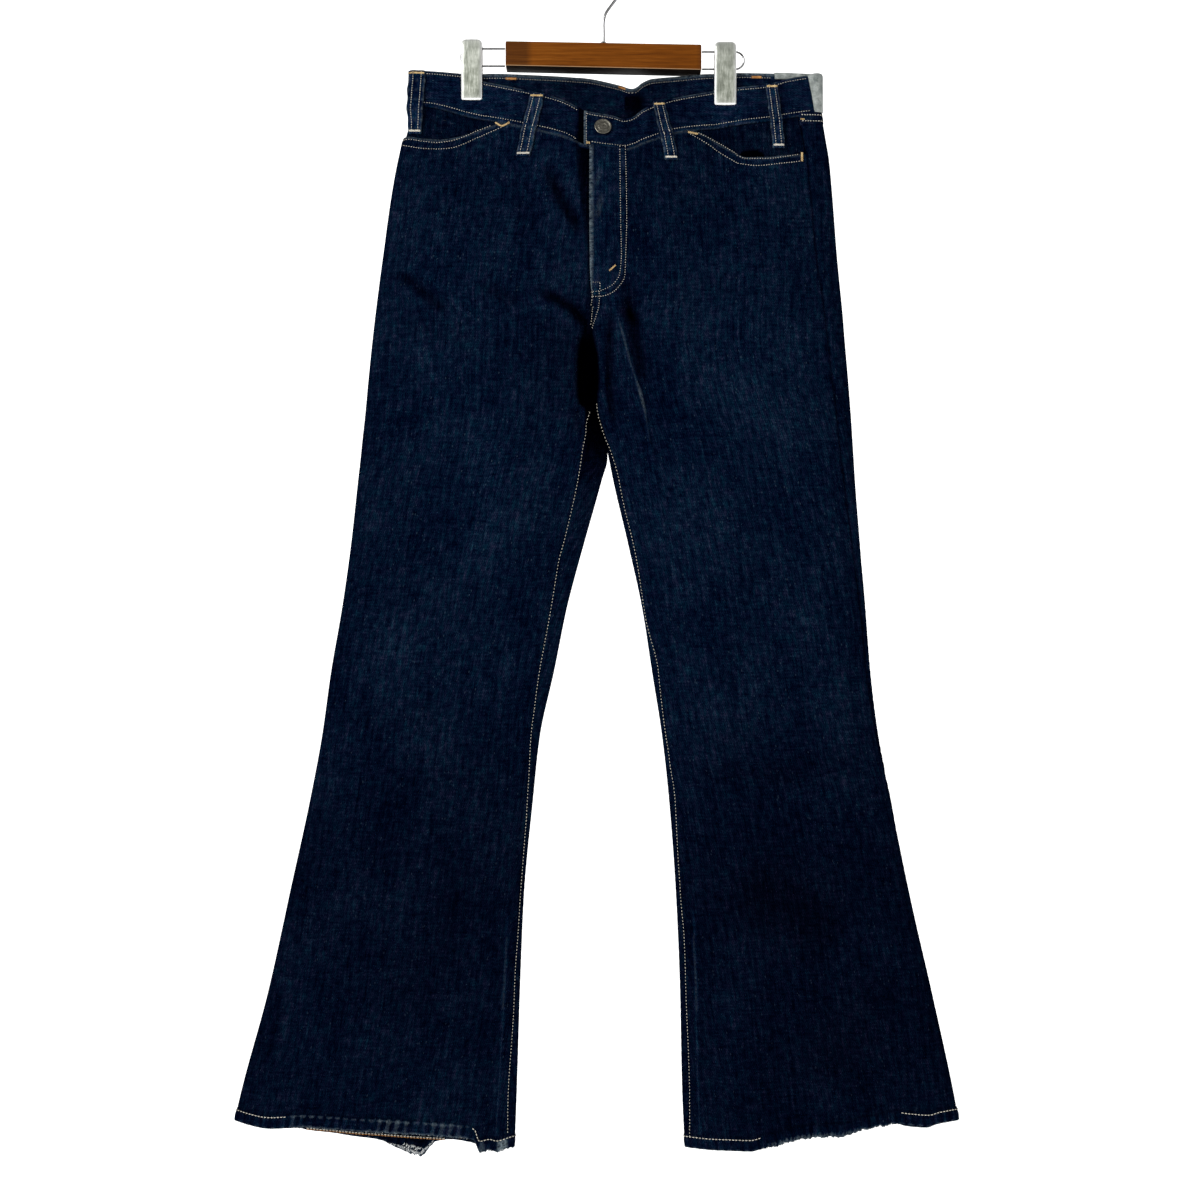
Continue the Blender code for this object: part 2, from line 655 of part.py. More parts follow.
def band_fold(side, turns):
    """The band's round side fold, turned by hand so that its radius is kept."""
    xo = float(outer[side](128.0))
    sign = 1 if side == "R" else -1
    centre = xo + sign * FOLD_RADIUS
    columns = []
    for turn in turns:
        column_points = []
        for t in (0.0, 0.3, 0.65, 1.0):
            face_x = centre
            fy = float(front_out(np.float64(face_x), np.float64(front_top(face_x) + (front_seam(face_x) - front_top(face_x)) * t)))
            by = float(back_out(np.float64(face_x), np.float64(back_top(face_x) + (back_seam(face_x) - back_top(face_x)) * t)))
            fd = float(front_top(face_x) + (front_seam(face_x) - front_top(face_x)) * t)
            bd = float(back_top(face_x) + (back_seam(face_x) - back_top(face_x)) * t)
            share = turn / math.pi
            mid, half = (by - fy) / 2, (by + fy) / 2
            drop = fd + (bd - fd) * share
            pair = []
            for out in (BAND_PROUD, BAND_PROUD - BAND_WALL):
                rx, ry = FOLD_RADIUS + out, half + out
                pair.append(
                    np.array(
                        [
                            centre - sign * rx * math.sin(turn),
                            mid - ry * math.cos(turn),
                            -drop,
                        ]
                    )
                )
            column_points.append(tuple(pair))
        columns.append(column_points)
    return columns


def waistband():
    fold_r = float(outer["R"](128.0)) + FOLD_RADIUS
    fold_l = float(outer["L"](128.0)) - FOLD_RADIUS
    columns = []
    lap = BAND_WALL + 0.5
    for x in (UNDER_TO, 10.0, -5.0, -14.0, -22.0, -32.0, -44.0):
        tuck = lap * (1 - float(smooth((-x - 20.0) / 24.0)))
        columns.append(band_column("front", x, tuck))
    for x in np.linspace(-60.0, fold_r, 9):
        columns.append(band_column("front", float(x), 0.0))
    columns += band_fold("R", [math.pi * k / 6 for k in range(1, 6)])
    for x in np.linspace(fold_r, fold_l, 30):
        columns.append(band_column("back", float(x), 0.0))
    columns += band_fold("L", [math.pi * (1 - k / 6) for k in range(1, 6)])
    for x in np.linspace(fold_l, 60.0, 10):
        columns.append(band_column("front", float(x), 0.0))
    for x in (48.0, 36.0, 24.0, 10.0, -4.0, LAP_TO):
        columns.append(band_column("front", x, 0.0))
    a = [[col[r][0] for col in columns] for r in range(4)]
    b = [[col[r][1] for col in columns] for r in range(4)]
    return wall("waistband", a, b, denim_band)


waistband()


# ---------------------------------------------------------------- small cloth pieces
def facing_point(side):
    """Denim behind the pocket mouth, from the band down past the mouth."""

    def point(u, v, out):
        drop = 165.0
        for _ in range(4):
            a, _, _ = edge_lengths(side, drop)
            x, fy, fs, by, bs = ring(side, drop)
            end = length_at(x, fs, -103.0 if side == "R" else 89.0)
            s0 = a + SEAM_GAP
            s = s0 + (end - s0) * u
            px = along(side, s, drop)[0]
            top = float(front_seam(px)) + ROW_GAP
            low = front_upper(side, px) + 14.0
            drop = top + (low - top) * v
        return with_normal(side, s, drop, out)

    return point


for side in "RL":
    us = spread(9, (0.05, 0.09, 0.13) if side == "R" else (), ())
    sheet(
        f"pocket_facing_{side}",
        facing_point(side),
        us,
        (0, 0.33, 0.66, 1),
        -CLOTH - LAYER_GAP,
        CLOTH,
        denim_pocket,
    )

def fly_point(u, v, out):
    x = FLY_EDGE + (FLY_RIGHT - FLY_EDGE) * u
    top = float(front_seam(x)) + ROW_GAP
    drop = top + (float(fly_bottom(x)) - top) * v
    return on_face("front", x, drop, out)


sheet(
    "fly_lap",
    fly_point,
    (0, 0.2, 0.4, 0.6, 0.8, 0.92, 1),
    np.linspace(0, 1, 11),
    LAYER_GAP + 1.2,
    1.2,
    denim,
)


def pocket_point(side):
    middle = (float(outer[side](230.0)) + float(inner[side](230.0))) / 2 + (6 if side == "R" else -6)

    def point(u, v, out):
        wide = POCKET_TOP_WIDE + (POCKET_LOW_WIDE - POCKET_TOP_WIDE) * v
        x = middle + (u - 0.5) * wide
        top = yoke_seam(side, middle) + 22.0 + (x - middle) * (0.06 if side == "R" else -0.06)
        low = top + POCKET_HIGH + POCKET_POINT * (1 - abs(2 * u - 1))
        return on_face("back", x, top + (low - top) * v, out)

    return point


for side in "RL":
    sheet(
        f"back_pocket_{side}",
        pocket_point(side),
        np.linspace(0, 1, 9),
        np.linspace(0, 1, 9),
        LAYER_GAP + CLOTH,
        CLOTH,
        denim_pocket,
    )

for name, face, tx0, tx1, td, lx0, lx1, ld in LOOPS:
    if face == "front":
        corners = [seen(x, d) for x, d in ((tx0, td), (tx1, td), (lx0, ld), (lx1, ld))]
    else:
        corners = [(tx0, td), (tx1, td), (lx0, ld), (lx1, ld)]

    def loop_point(u, v, out, face=face, corners=corners):
        (ax, ad), (bx, bd), (cx, cd), (dx, dd) = corners
        x = (ax + (bx - ax) * u) * (1 - v) + (cx + (dx - cx) * u) * v
        d = (ad + (bd - ad) * u) * (1 - v) + (cd + (dd - cd) * u) * v
        bow = 1.6 * math.sin(math.pi * v)
        return on_face(face, x, d, out + bow)

    lift = BAND_PROUD + SEAM_GAP + LOOP_WALL
    sheet(name, loop_point, (0, 0.12, 0.26, 0.5, 1), np.linspace(0, 1, 6), lift, LOOP_WALL, denim_loop)


def patch():
    """The bare waist patch, bent round the band's left side fold."""
    front_xs = [203.5, 209.0]
    back_xs = [209.0, 200.0, 190.0, 180.0, 171.5]
    fold_l = float(outer["L"](128.0)) - FOLD_RADIUS
    out = BAND_PROUD + 2 * SEAM_GAP + PATCH_WALL
    columns = []
    shares = (0.0, 0.5, 0.97)
    for x in front_xs:
        top, seam = float(front_top(x)), float(front_seam(x))
        columns.append([(on_face("front", x, top + (seam - top) * t, out), on_face("front", x, top + (seam - top) * t, out - PATCH_WALL)) for t in shares])
    centre = fold_l
    for k in range(1, 6):
        turn = math.pi * k / 6
        column_points = []
        for t in shares:
            fd = float(front_top(centre)) + (float(front_seam(centre)) - float(front_top(centre))) * t
            bd = float(back_top(centre)) + (float(back_seam(centre)) - float(back_top(centre))) * t
            fy = float(front_out(np.float64(centre), np.float64(fd)))
            by = float(back_out(np.float64(centre), np.float64(bd)))
            mid, half = (by - fy) / 2, (by + fy) / 2
            drop = fd + (bd - fd) * k / 6
            pair = []
            for o in (out, out - PATCH_WALL):
                pair.append(np.array([centre + (FOLD_RADIUS + o) * math.sin(turn), mid - (half + o) * math.cos(turn), -drop]))
            column_points.append(tuple(pair))
        columns.append(column_points)
    for x in back_xs:
        top, seam = float(back_top(x)), float(back_seam(x))
        columns.append([(on_face("back", x, top + (seam - top) * t, out), on_face("back", x, top + (seam - top) * t, out - PATCH_WALL)) for t in shares])
    a = [[col[r][0] for col in columns] for r in range(3)]
    b = [[col[r][1] for col in columns] for r in range(3)]
    return wall("waist_patch", a, b, patch_mat)


patch()


# ---------------------------------------------------------------- button
def turned(name, profile, mat, steps=24):
    """A solid of revolution about Z from its outline, top to bottom at +X."""
    mesh = bpy.data.meshes.new(name)
    verts = [(r * MM, 0.0, z * MM) for r, z in profile]
    mesh.from_pydata(verts, [(i, i + 1) for i in range(len(verts) - 1)], [])
    obj = put(name, mesh, mat, smooth_shade=False)
    screw = obj.modifiers.new("Screw", "SCREW")
    screw.axis = "Z"
    screw.steps = screw.render_steps = steps
    screw.use_merge_vertices = True
    screw.merge_threshold = 0.00001
    return obj


button_x, button_d = seen(*BUTTON_AT)
centre = on_face("front", button_x, button_d, BAND_PROUD + 1.0)
up = on_face("front", button_x, button_d, BAND_PROUD + 2.0) - centre
button = turned(
    "button",
    [
        (0.0, 3.4),
        (2.2, 3.3),
        (3.0, 2.9),
        (6.2, 3.0),
        (7.2, 3.5),
        (BUTTON_R - 0.4, 3.3),
        (BUTTON_R, 2.6),
        (BUTTON_R - 0.5, 1.8),
        (3.2, 1.5),
        (2.6, 0.0),
        (0.0, 0.0),
    ],
    button_mat,
)
from mathutils import Vector  # noqa: E402

button.rotation_euler = Vector(up).to_track_quat("Z", "Y").to_euler()
button.location = Vector(centre) * MM


# ---------------------------------------------------------------- hanger
def wire(name, points, radius, mat, resolution=3):
    curve = bpy.data.curves.new(name, "CURVE")
    curve.dimensions = "3D"
    curve.bevel_depth = radius * MM
    curve.bevel_resolution = resolution
    curve.use_fill_caps = True
    spline = curve.splines.new("POLY")
    spline.points.add(len(points) - 1)
    for p, co in zip(spline.points, points):
        p.co = (co[0] * MM, co[1] * MM, co[2] * MM, 1.0)
    obj = bpy.data.objects.new(name, curve)
    curve.materials.append(mat)
    parts.objects.link(obj)
    return obj


def through(points, per_span):
    """Points along a smooth curve through the given ones."""
    pts = [np.array(p, float) for p in points]
    pts = [2 * pts[0] - pts[1], *pts, 2 * pts[-1] - pts[-2]]
    out = []
    for i in range(1, len(pts) - 2):
        p0, p1, p2, p3 = pts[i - 1 : i + 3]
        for k in range(per_span):
            t = k / per_span
            out.append(
                0.5
                * (
                    2 * p1
                    + (p2 - p0) * t
                    + (2 * p0 - 5 * p1 + 4 * p2 - p3) * t * t
                    + (3 * p1 - 3 * p2 + p3 - p0) * t**3
                )
            )
    return [*out, pts[-2]]


bpy.ops.mesh.primitive_cube_add(size=1.0, location=(0, 0, -(BAR_TOP + BAR_HIGH / 2) * MM))
bar = bpy.context.object
bar.name = "hanger_bar"
bar.data.name = "hanger_bar"
for v in bar.data.vertices:
    v.co = (v.co.x * BAR_LONG * MM, v.co.y * BAR_DEEP * MM, v.co.z * BAR_HIGH * MM)
bar.rotation_euler = (0, math.radians(BAR_TILT), 0)
bevel = bar.modifiers.new("Bevel", "BEVEL")
bevel.width, bevel.segments = 2.5 * MM, 3
for c in list(bar.users_collection):
    c.objects.unlink(bar)
parts.objects.link(bar)
bar.data.materials.append(wood)

ferrule = turned(
    "hook_ferrule",
    [(0.0, 3.0), (2.4, 3.0), (3.2, 2.2), (4.6, 1.4), (5.0, 0.6), (5.0, 0.0), (0.0, 0.0)],
    wire_mat,
    20,
)
ferrule.location = (0, 0, -(BAR_TOP - 0.3) * MM)

arc = [
    (
        HOOK_BEND * math.cos(math.radians(a)),
        0.0,
        HOOK_R - HOOK_BEND + HOOK_BEND * math.sin(math.radians(a)),
    )
    for a in range(-40, 216, 12)
]
neck = [(0, 0, -(BAR_TOP - 3.6)), (0, 0, -68.0), (0, 0, -58.0), (2.5, 0, -49.0), (8.5, 0, -40.5)]
wire("hanger_hook", through(neck, 3)[:-1] + [np.array(p) for p in arc], HOOK_R, wire_mat, 2)

for name, x0, x1, top, low, upper, lower, reach in CLIPS:
    sign = -1 if name == "R" else 1
    end = sign * (BAR_LONG / 2 + 0.4)
    r = (lower - upper) / 2
    turn_x = reach - sign * (r + RAIL_R)
    bend = [
        (turn_x + sign * r * math.sin(math.radians(a)), 0.0, -(upper + r - r * math.cos(math.radians(a))))
        for a in range(0, 181, 15)
    ]
    wire(f"hanger_rail_{name}", [(end, 0.0, -upper), *bend, (end, 0.0, -lower)], RAIL_R, wire_mat, 2)

    # Two pressed plates, open above and pressing on the band below.
    middle, half = (x0 + x1) / 2, (x1 - x0) / 2
    grip = 3.6 + BAND_PROUD + SEAM_GAP
    for face, s in (("front", -1), ("back", 1)):
        profile = [  # share of the height, distance out
            (0.0, 6.0),
            (0.04, 7.4),
            (0.12, 8.2),
            (0.4, 8.4),
            (0.62, 8.0),
            (0.8, 7.2),
            (0.93, grip + 1.25 + PLATE),
            (1.0, grip + 1.2 + PLATE),
        ]

        def plate_point(u, v, out, s=s, profile=profile, middle=middle, half=half, top=top, low=low):
            share, away = profile[v]
            trim = 1.0 if share > 0.06 else 0.86 + 0.14 * share / 0.06
            x = middle + (2 * u - 1) * half * trim
            edge = 0.8 if u in (0, 1) else 0.0
            return np.array([x, s * (away + out - edge), -(top + (low - top) * share)])

        sheet(
            f"clip_{face}_{name}",
            plate_point,
            (0, 0.08, 0.5, 0.92, 1),
            range(len(profile)),
            0.0,
            PLATE,
            steel,
        )
    bpy.ops.mesh.primitive_cylinder_add(
        vertices=16, radius=4.2 * MM, depth=13 * MM, location=(middle * MM, 0, -(upper + lower) / 2 * MM),
        rotation=(0, math.pi / 2, 0),
    )
    spring = bpy.context.object
    spring.name = spring.data.name = f"clip_spring_{name}"
    for c in list(spring.users_collection):
        c.objects.unlink(spring)
    parts.objects.link(spring)
    spring.data.materials.append(steel)
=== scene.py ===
# Bootcut jeans hanging flat from a wooden clip hanger: the looks.
#
# Same frame as the solid model: origin at the inside top of the hook, +Z up,
# +X to the viewer's right, the front facing -Y. Sizes are in millimetres here
# and "drop" is the distance below the origin.

import math

import bpy
import numpy as np
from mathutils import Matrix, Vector


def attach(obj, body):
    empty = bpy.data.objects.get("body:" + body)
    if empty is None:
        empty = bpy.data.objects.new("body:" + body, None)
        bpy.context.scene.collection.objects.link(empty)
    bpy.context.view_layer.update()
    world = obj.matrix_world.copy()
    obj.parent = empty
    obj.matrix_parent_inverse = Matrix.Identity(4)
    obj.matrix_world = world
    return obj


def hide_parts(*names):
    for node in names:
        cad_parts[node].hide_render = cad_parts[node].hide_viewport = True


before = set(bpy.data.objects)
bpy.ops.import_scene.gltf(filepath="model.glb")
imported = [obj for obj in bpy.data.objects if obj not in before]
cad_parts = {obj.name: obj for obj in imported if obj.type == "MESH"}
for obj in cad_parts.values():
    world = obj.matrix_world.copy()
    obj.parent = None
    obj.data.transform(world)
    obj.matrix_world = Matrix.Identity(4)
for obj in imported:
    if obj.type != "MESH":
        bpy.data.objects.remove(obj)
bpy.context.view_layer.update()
MM = 0.001
RNG = np.random.default_rng(7)

# ================================================================ the form
# (the same tables and sections as the solid model)
CLOTH = 1.4
BAND_WALL, BAND_PROUD = 3.0, 0.6
FOLD_RADIUS = 6.0
CROTCH = 367.0
HEM_HIGH = 13.0
LEVELS = ("hip", "thigh", "knee", "shin")
YOKE_SIDE, YOKE_CENTRE = 10.0, 62.0
EYE = (-3.5, 636.0, 2000.0)  # x, drop and distance of the eye

SECTIONS = [
    # drop  outer_R inner_R inner_L outer_L front back
    (100, -194.5, -11.8, -11.2, 216.5, 16.0, 18.0),
    (148, -194.6, -11.8, -11.2, 218.0, 17.0, 20.0),
    (172, -199.5, -11.8, -11.2, 221.5, 18.0, 22.0),
    (196, -205.5, -11.8, -11.2, 225.5, 19.5, 24.0),
    (228, -211.5, -11.8, -11.2, 228.5, 21.0, 27.0),
    (292, -220.5, -11.8, -11.2, 233.5, 23.0, 30.0),
    (360, -229.2, -11.8, -11.2, 240.0, 22.2, 27.2),
    (367, -230.0, -10.8, -12.2, 240.5, 22.0, 27.0),
    (420, -235.5, -9.4, -11.2, 245.0, 21.5, 23.0),
    (452, -238.5, -4.2, -6.2, 247.5, 21.0, 22.0),
    (482, -241.8, 3.6, 2.4, 249.4, 20.3, 20.6),
    (494, -243.0, 4.1, 5.1, 250.2, 20.0, 20.0),
    (516, -245.5, -1.5, 9.5, 251.5, 20.0, 20.0),
    (580, -252.5, -19.5, 24.5, 256.5, 19.0, 19.0),
    (644, -261.5, -36.5, 38.5, 261.5, 18.0, 18.0),
    (708, -272.5, -49.5, 48.5, 266.5, 17.0, 17.0),
    (772, -281.5, -63.5, 58.5, 274.5, 16.5, 16.0),
    (836, -293.5, -70.5, 65.5, 287.5, 16.0, 16.0),
    (932, -314.5, -79.5, 72.5, 306.5, 15.5, 15.0),
    (1028, -335.5, -83.5, 76.5, 328.5, 15.0, 14.5),
    (1124, -361.5, -86.5, 78.5, 349.5, 15.0, 14.0),
    (1190, -376.5, -89.0, 81.5, 361.5, 15.0, 14.0),
]
SEAMS = [
    # drop  outseam_R inseam_R inseam_L outseam_L
    (100, -10.0, 0.0, 0.0, 21.0),
    (150, -10.0, 0.0, 0.0, 24.0),
    (190, -12.0, 0.0, 0.0, 23.0),
    (266, -12.0, 0.0, 0.0, 22.5),
    (367, -12.0, 0.1, 0.1, 19.0),
    (400, -12.0, 4.0, 3.0, 18.0),
    (448, -12.0, 6.0, 4.0, 16.0),
    (485, -12.0, 20.0, 6.5, 14.5),
    (516, -12.0, 24.5, 6.0, 12.5),
    (580, -12.0, 21.0, 6.0, 9.0),
    (644, -12.0, 17.0, 4.5, 5.5),
    (708, -12.0, 14.0, 6.5, 4.2),
    (772, -12.0, 9.0, 5.0, 2.0),
    (836, -11.0, 6.0, 4.8, -2.0),
    (932, -11.0, 4.8, 5.5, -6.0),
    (1028, -10.0, 6.0, 5.5, -8.0),
    (1190, -10.0, 9.0, 5.5, -9.0),
]
WAIST = [
    # x  front_top front_seam out_top out_seam  back_top back_seam back_out_top back_out_seam
    (-194.5, 108.5, 142.5, 5.0, 6.5, 108.5, 142.5, 5.0, 6.5),
    (-178.0, 109.0, 143.5, 5.0, 8.0, 108.8, 145.0, 5.0, 7.0),
    (-146.0, 111.0, 150.0, 3.6, 5.0, 110.3, 148.0, 3.6, 3.8),
    (-141.5, 111.5, 151.5, 3.6, 4.6, 110.5, 148.0, 3.6, 3.7),
    (-121.5, 118.5, 156.0, 3.6, 4.6, 110.5, 148.5, 3.6, 3.7),
    (-117.0, 119.5, 157.0, 3.6, 6.5, 110.3, 148.3, 3.6, 4.4),
    (-91.5, 125.5, 163.5, 7.0, 16.0, 109.5, 147.5, 8.0, 12.0),
    (-43.5, 138.5, 176.0, 13.0, 25.0, 109.5, 147.0, 17.0, 21.0),
    (-24.0, 148.3, 183.8, 16.2, 29.4, 109.6, 147.0, 21.5, 24.6),
    (-18.5, 151.0, 186.0, 16.5, 30.0, 110.0, 147.2, 22.0, 25.0),
    (10.0, 156.5, 190.5, 16.2, 30.4, 115.2, 151.5, 23.6, 27.4),
    (20.0, 159.3, 191.2, 15.2, 29.7, 118.2, 153.8, 21.6, 27.6),
    (29.0, 157.0, 189.0, 13.6, 28.2, 122.0, 155.6, 17.0, 26.4),
    (38.5, 149.5, 184.2, 11.6, 25.8, 115.4, 152.6, 20.0, 25.6),
    (50.0, 143.5, 179.5, 9.5, 23.0, 111.2, 149.4, 19.0, 24.0),
    (69.5, 137.0, 172.5, 7.5, 19.0, 110.5, 148.0, 15.0, 20.0),
    (106.5, 129.2, 165.7, 3.6, 7.0, 110.5, 148.0, 3.6, 4.6),
    (111.0, 128.4, 165.0, 3.6, 4.8, 110.5, 148.0, 3.6, 3.7),
    (132.0, 125.1, 161.6, 3.6, 4.8, 109.5, 147.0, 3.6, 3.7),
    (136.5, 124.6, 161.0, 3.6, 6.5, 109.4, 147.0, 3.6, 4.4),
    (162.5, 122.5, 158.5, 5.0, 9.0, 109.5, 147.0, 5.0, 7.5),
    (183.5, 117.0, 155.0, 5.5, 8.0, 110.0, 148.0, 5.5, 7.0),
    (216.5, 111.5, 150.0, 5.0, 6.5, 111.5, 150.0, 5.0, 6.5),
]
LAP_TO, UNDER_TO = -18.5, 24.0
# above WORN the pale threads show as wear, and along crease ridges also as painted highlight
WORN = 1.3  # the tone from which cloth is worn to its pale threads
MOUTH_R = [(-206.0, 178.0), (-196.0, 174.0), (-180.0, 176.5), (-164.0, 177.5)]
MOUTH_R += [(-149.5, 175.5), (-134.8, 171.5), (-119.0, 166.0), (-106.0, 162.5)]
MOUTH_L = [(92.0, 170.5), (103.0, 174.0), (112.5, 179.5), (129.2, 189.5)]
MOUTH_L += [(142.5, 196.0), (162.5, 196.0), (180.0, 193.5), (200.0, 191.5)]
HEMS = [
    # x  front back
    (-372.0, 1154.0, 1155.5),
    (-354.5, 1158.0, 1159.0),
    (-332.5, 1161.0, 1162.5),
    (-316.0, 1160.0, 1163.5),
    (-297.0, 1159.5, 1168.2),
    (-271.0, 1161.0, 1171.2),
    (-247.0, 1162.6, 1175.0),
    (-222.0, 1164.0, 1179.0),
    (-211.0, 1164.8, 1184.2),
    (-200.0, 1165.6, 1189.0),
    (-184.0, 1166.4, 1194.0),
    (-176.0, 1167.0, 1187.0),
    (-168.0, 1167.8, 1179.6),
    (-152.0, 1169.0, 1177.6),
    (-134.0, 1170.5, 1180.0),
    (-128.5, 1172.5, 1181.5),
    (-123.5, 1184.6, 1182.5),
    (-114.0, 1183.2, 1183.0),
    (-106.5, 1185.4, 1183.0),
    (-89.0, 1181.8, 1181.8),
    (81.0, 1182.0, 1182.0),
    (112.5, 1183.1, 1181.0),
    (146.0, 1183.1, 1181.0),
    (158.3, 1180.0, 1178.5),
    (167.5, 1178.5, 1176.5),
    (189.0, 1172.5, 1172.0),
    (219.5, 1168.5, 1169.5),
    (238.0, 1168.0, 1168.0),
    (250.0, 1163.3, 1165.5),
    (280.8, 1157.3, 1162.0),
    (293.0, 1155.8, 1161.5),
    (305.3, 1157.3, 1164.0),
    (323.5, 1158.8, 1164.6),
    (334.0, 1156.4, 1161.0),
    (357.0, 1154.3, 1155.0),
]
LOOPS = [
    # name  face  top_x0 top_x1 top_drop  low_x0 low_x1 low_drop
    ("belt_loop_1", "front", -193.2, -178.2, 107.5, -194.0, -182.5, 169.5),
    ("belt_loop_2", "front", -72.2, -59.2, 130.0, -86.4, -73.4, 191.8),
    ("belt_loop_3", "front", 49.8, 60.6, 138.4, 61.8, 73.6, 195.5),
    ("belt_loop_4", "front", 162.8, 173.6, 120.6, 169.8, 180.6, 183.7),
    ("belt_loop_5", "back", -98.5, -86.5, 108.6, -98.5, -86.5, 171.0),
    ("belt_loop_6", "back", 15.5, 27.5, 123.5, 15.5, 27.5, 178.0),
    ("belt_loop_7", "back", 146.5, 158.5, 109.0, 146.5, 158.5, 171.0),
]
FLY_EDGE, FLY_RIGHT = -11.2, 22.0
FLY_J = [(-11.5, 334.0), (2.0, 333.0), (9.0, 329.5), (15.0, 323.5), (19.5, 313.0), (22.0, 298.0)]
POCKET_TOP_WIDE, POCKET_LOW_WIDE = 152.0, 136.0
POCKET_HIGH, POCKET_POINT = 150.0, 22.0
BUTTON_AT = (-0.7, 164.3)

# Creases placed one by one. Those in front are given as the front view shows
# them. A soft ridge (height above 0) or trough runs along a line of points:
# its half width, height, how much of a counter-fold runs beside it, and how
# much paler or darker the cloth is painted there: painted shade in a trough,
# and along a ridge a paler line that is wear and painted highlight.
CREASES = [
    # face  points (x, drop)  half-width  height  counter  shade
    ("front", [(-60, 192), (-55, 207), (-43.5, 232), (-31, 252), (-18, 274)], 4.6, -3.2, 0.6, -0.62),
    ("front", [(-64, 186), (-58, 206), (-52, 226)], 6.0, 1.2, 0.0, 0.10),
    ("front", [(-92, 200), (-80, 244), (-72, 282)], 9.0, -1.0, 0.4, -0.12),
    ("front", [(-72, 323), (-60, 328), (-48.5, 333.5), (-33.8, 341.6), (-19, 356.3), (-12, 372)], 4.0, -3.4, 0.6, -0.60),
    ("front", [(-74, 336), (-50, 346), (-28, 362)], 6.0, 1.4, 0.0, 0.14),
    ("front", [(-214, 304), (-190, 318), (-168, 338), (-152, 350)], 4.2, -1.8, 0.6, -0.48),
    ("front", [(-206, 298), (-180, 308), (-156, 328)], 6.0, 0.9, 0.0, 0.12),
    ("front", [(-128, 318), (-104, 328), (-82, 340)], 5.0, -1.4, 0.6, -0.30),
    ("front", [(-210, 352), (-168, 366), (-120, 372)], 8.0, -1.2, 0.6, -0.12),
    ("front", [(7.5, 322), (10.4, 340), (14.5, 352), (20.5, 374), (28, 402), (35.5, 424), (41.2, 446), (47.1, 483), (51.5, 515)], 2.2, 3.0, 0.0, 0.26),
    ("front", [(2, 300), (7.5, 324), (12, 346), (20.5, 374), (28, 402), (35.5, 424), (41.2, 446), (44, 462)], 2.4, 0.5, 0.0, 0.27),
    ("front", [(47, 483), (53, 530), (60, 590)], 5.0, 1.2, 0.4, 0.12),
    ("front", [(21, 300), (24, 330), (28, 356), (34, 384), (42, 430)], 5.4, -3.6, 0.2, -0.58),
    ("front", [(8, 330), (6.4, 352), (5.9, 378), (5.4, 410), (7, 440), (13, 470)], 3.2, -3.2, 0.0, -0.52),
    ("front", [(8, 338), (24, 348), (40, 362)], 4.0, -1.6, 0.4, -0.22),
    ("front", [(-26, 440), (-24, 452), (-24, 470)], 5.0, -2.0, 0.0, -0.22),
    ("front", [(60, 338), (96, 322), (150, 318)], 9.0, -1.2, 0.6, -0.08),
    ("front", [(276, 784), (236, 790), (160, 806), (77, 806)], 9.0, -2.6, 0.6, -0.14),
    ("front", [(268, 802), (214, 814), (150, 812)], 8.0, -1.8, 0.6, -0.10),
    ("front", [(80, 760), (120, 772), (170, 770)], 9.0, -1.4, 0.6, -0.06),
    ("front", [(122, 905), (180, 938), (250, 978)], 26.0, -4.5, 0.3, -0.22),
    ("front", [(300, 1000), (250, 1060), (225, 1130)], 24.0, -3.0, 0.3, -0.12),
    ("front", [(120, 1010), (132, 1080), (130, 1150)], 20.0, 2.0, 0.3, 0.08),
    ("front", [(-270, 742), (-210, 752), (-150, 744)], 12.0, -1.8, 0.6, -0.06),
    ("front", [(-240, 800), (-180, 812), (-100, 800)], 14.0, -1.6, 0.6, -0.05),
    ("front", [(-120, 880), (-150, 960), (-200, 1060)], 22.0, -3.0, 0.3, -0.08),
    ("front", [(-300, 960), (-290, 1050), (-300, 1120)], 22.0, 2.2, 0.3, 0.06),
    ("front", [(-200, 460), (-196, 560), (-205, 680)], 26.0, -1.6, 0.2, -0.05),
    ("front", [(150, 420), (158, 540), (165, 660)], 28.0, -1.6, 0.2, -0.05),
    ("front", [(-110, 430), (-116, 520), (-130, 620)], 20.0, 1.4, 0.2, 0.06),
    ("back", [(-190, 392), (-130, 402), (-60, 396)], 9.0, -3.6, 0.7, -0.16),
    ("back", [(-150, 424), (-90, 430), (-30, 420)], 10.0, -2.8, 0.7, -0.12),
    ("back", [(60, 398), (120, 408), (190, 396)], 9.0, -3.4, 0.7, -0.16),
    ("back", [(40, 426), (100, 436), (150, 430)], 10.0, -2.6, 0.7, -0.12),
    ("back", [(-12, 300), (-30, 340), (-60, 372)], 7.0, -3.0, 0.5, -0.30),
    ("back", [(-8, 306), (20, 344), (50, 376)], 7.0, -2.6, 0.5, -0.26),
    ("back", [(-270, 770), (-190, 784), (-90, 772)], 12.0, -3.4, 0.7, -0.14),
    ("back", [(-250, 812), (-180, 820), (-120, 812)], 12.0, -2.8, 0.7, -0.10),
    ("back", [(90, 776), (170, 790), (262, 770)], 12.0, -3.2, 0.7, -0.14),
    ("back", [(110, 822), (180, 830), (240, 818)], 12.0, -2.6, 0.7, -0.10),
    ("back", [(-250, 900), (-220, 1000), (-230, 1110)], 24.0, -3.0, 0.3, -0.08),
    ("back", [(240, 900), (220, 1000), (240, 1110)], 24.0, -3.0, 0.3, -0.08),
    ("back", [(-160, 480), (-165, 580), (-180, 680)], 24.0, -1.8, 0.3, -0.05),
    ("back", [(150, 480), (160, 580), (170, 680)], 24.0, -1.8, 0.3, -0.05),
    ("back", [(-20, 170), (4, 210), (14, 260)], 8.0, -1.8, 0.3, -0.10),
]
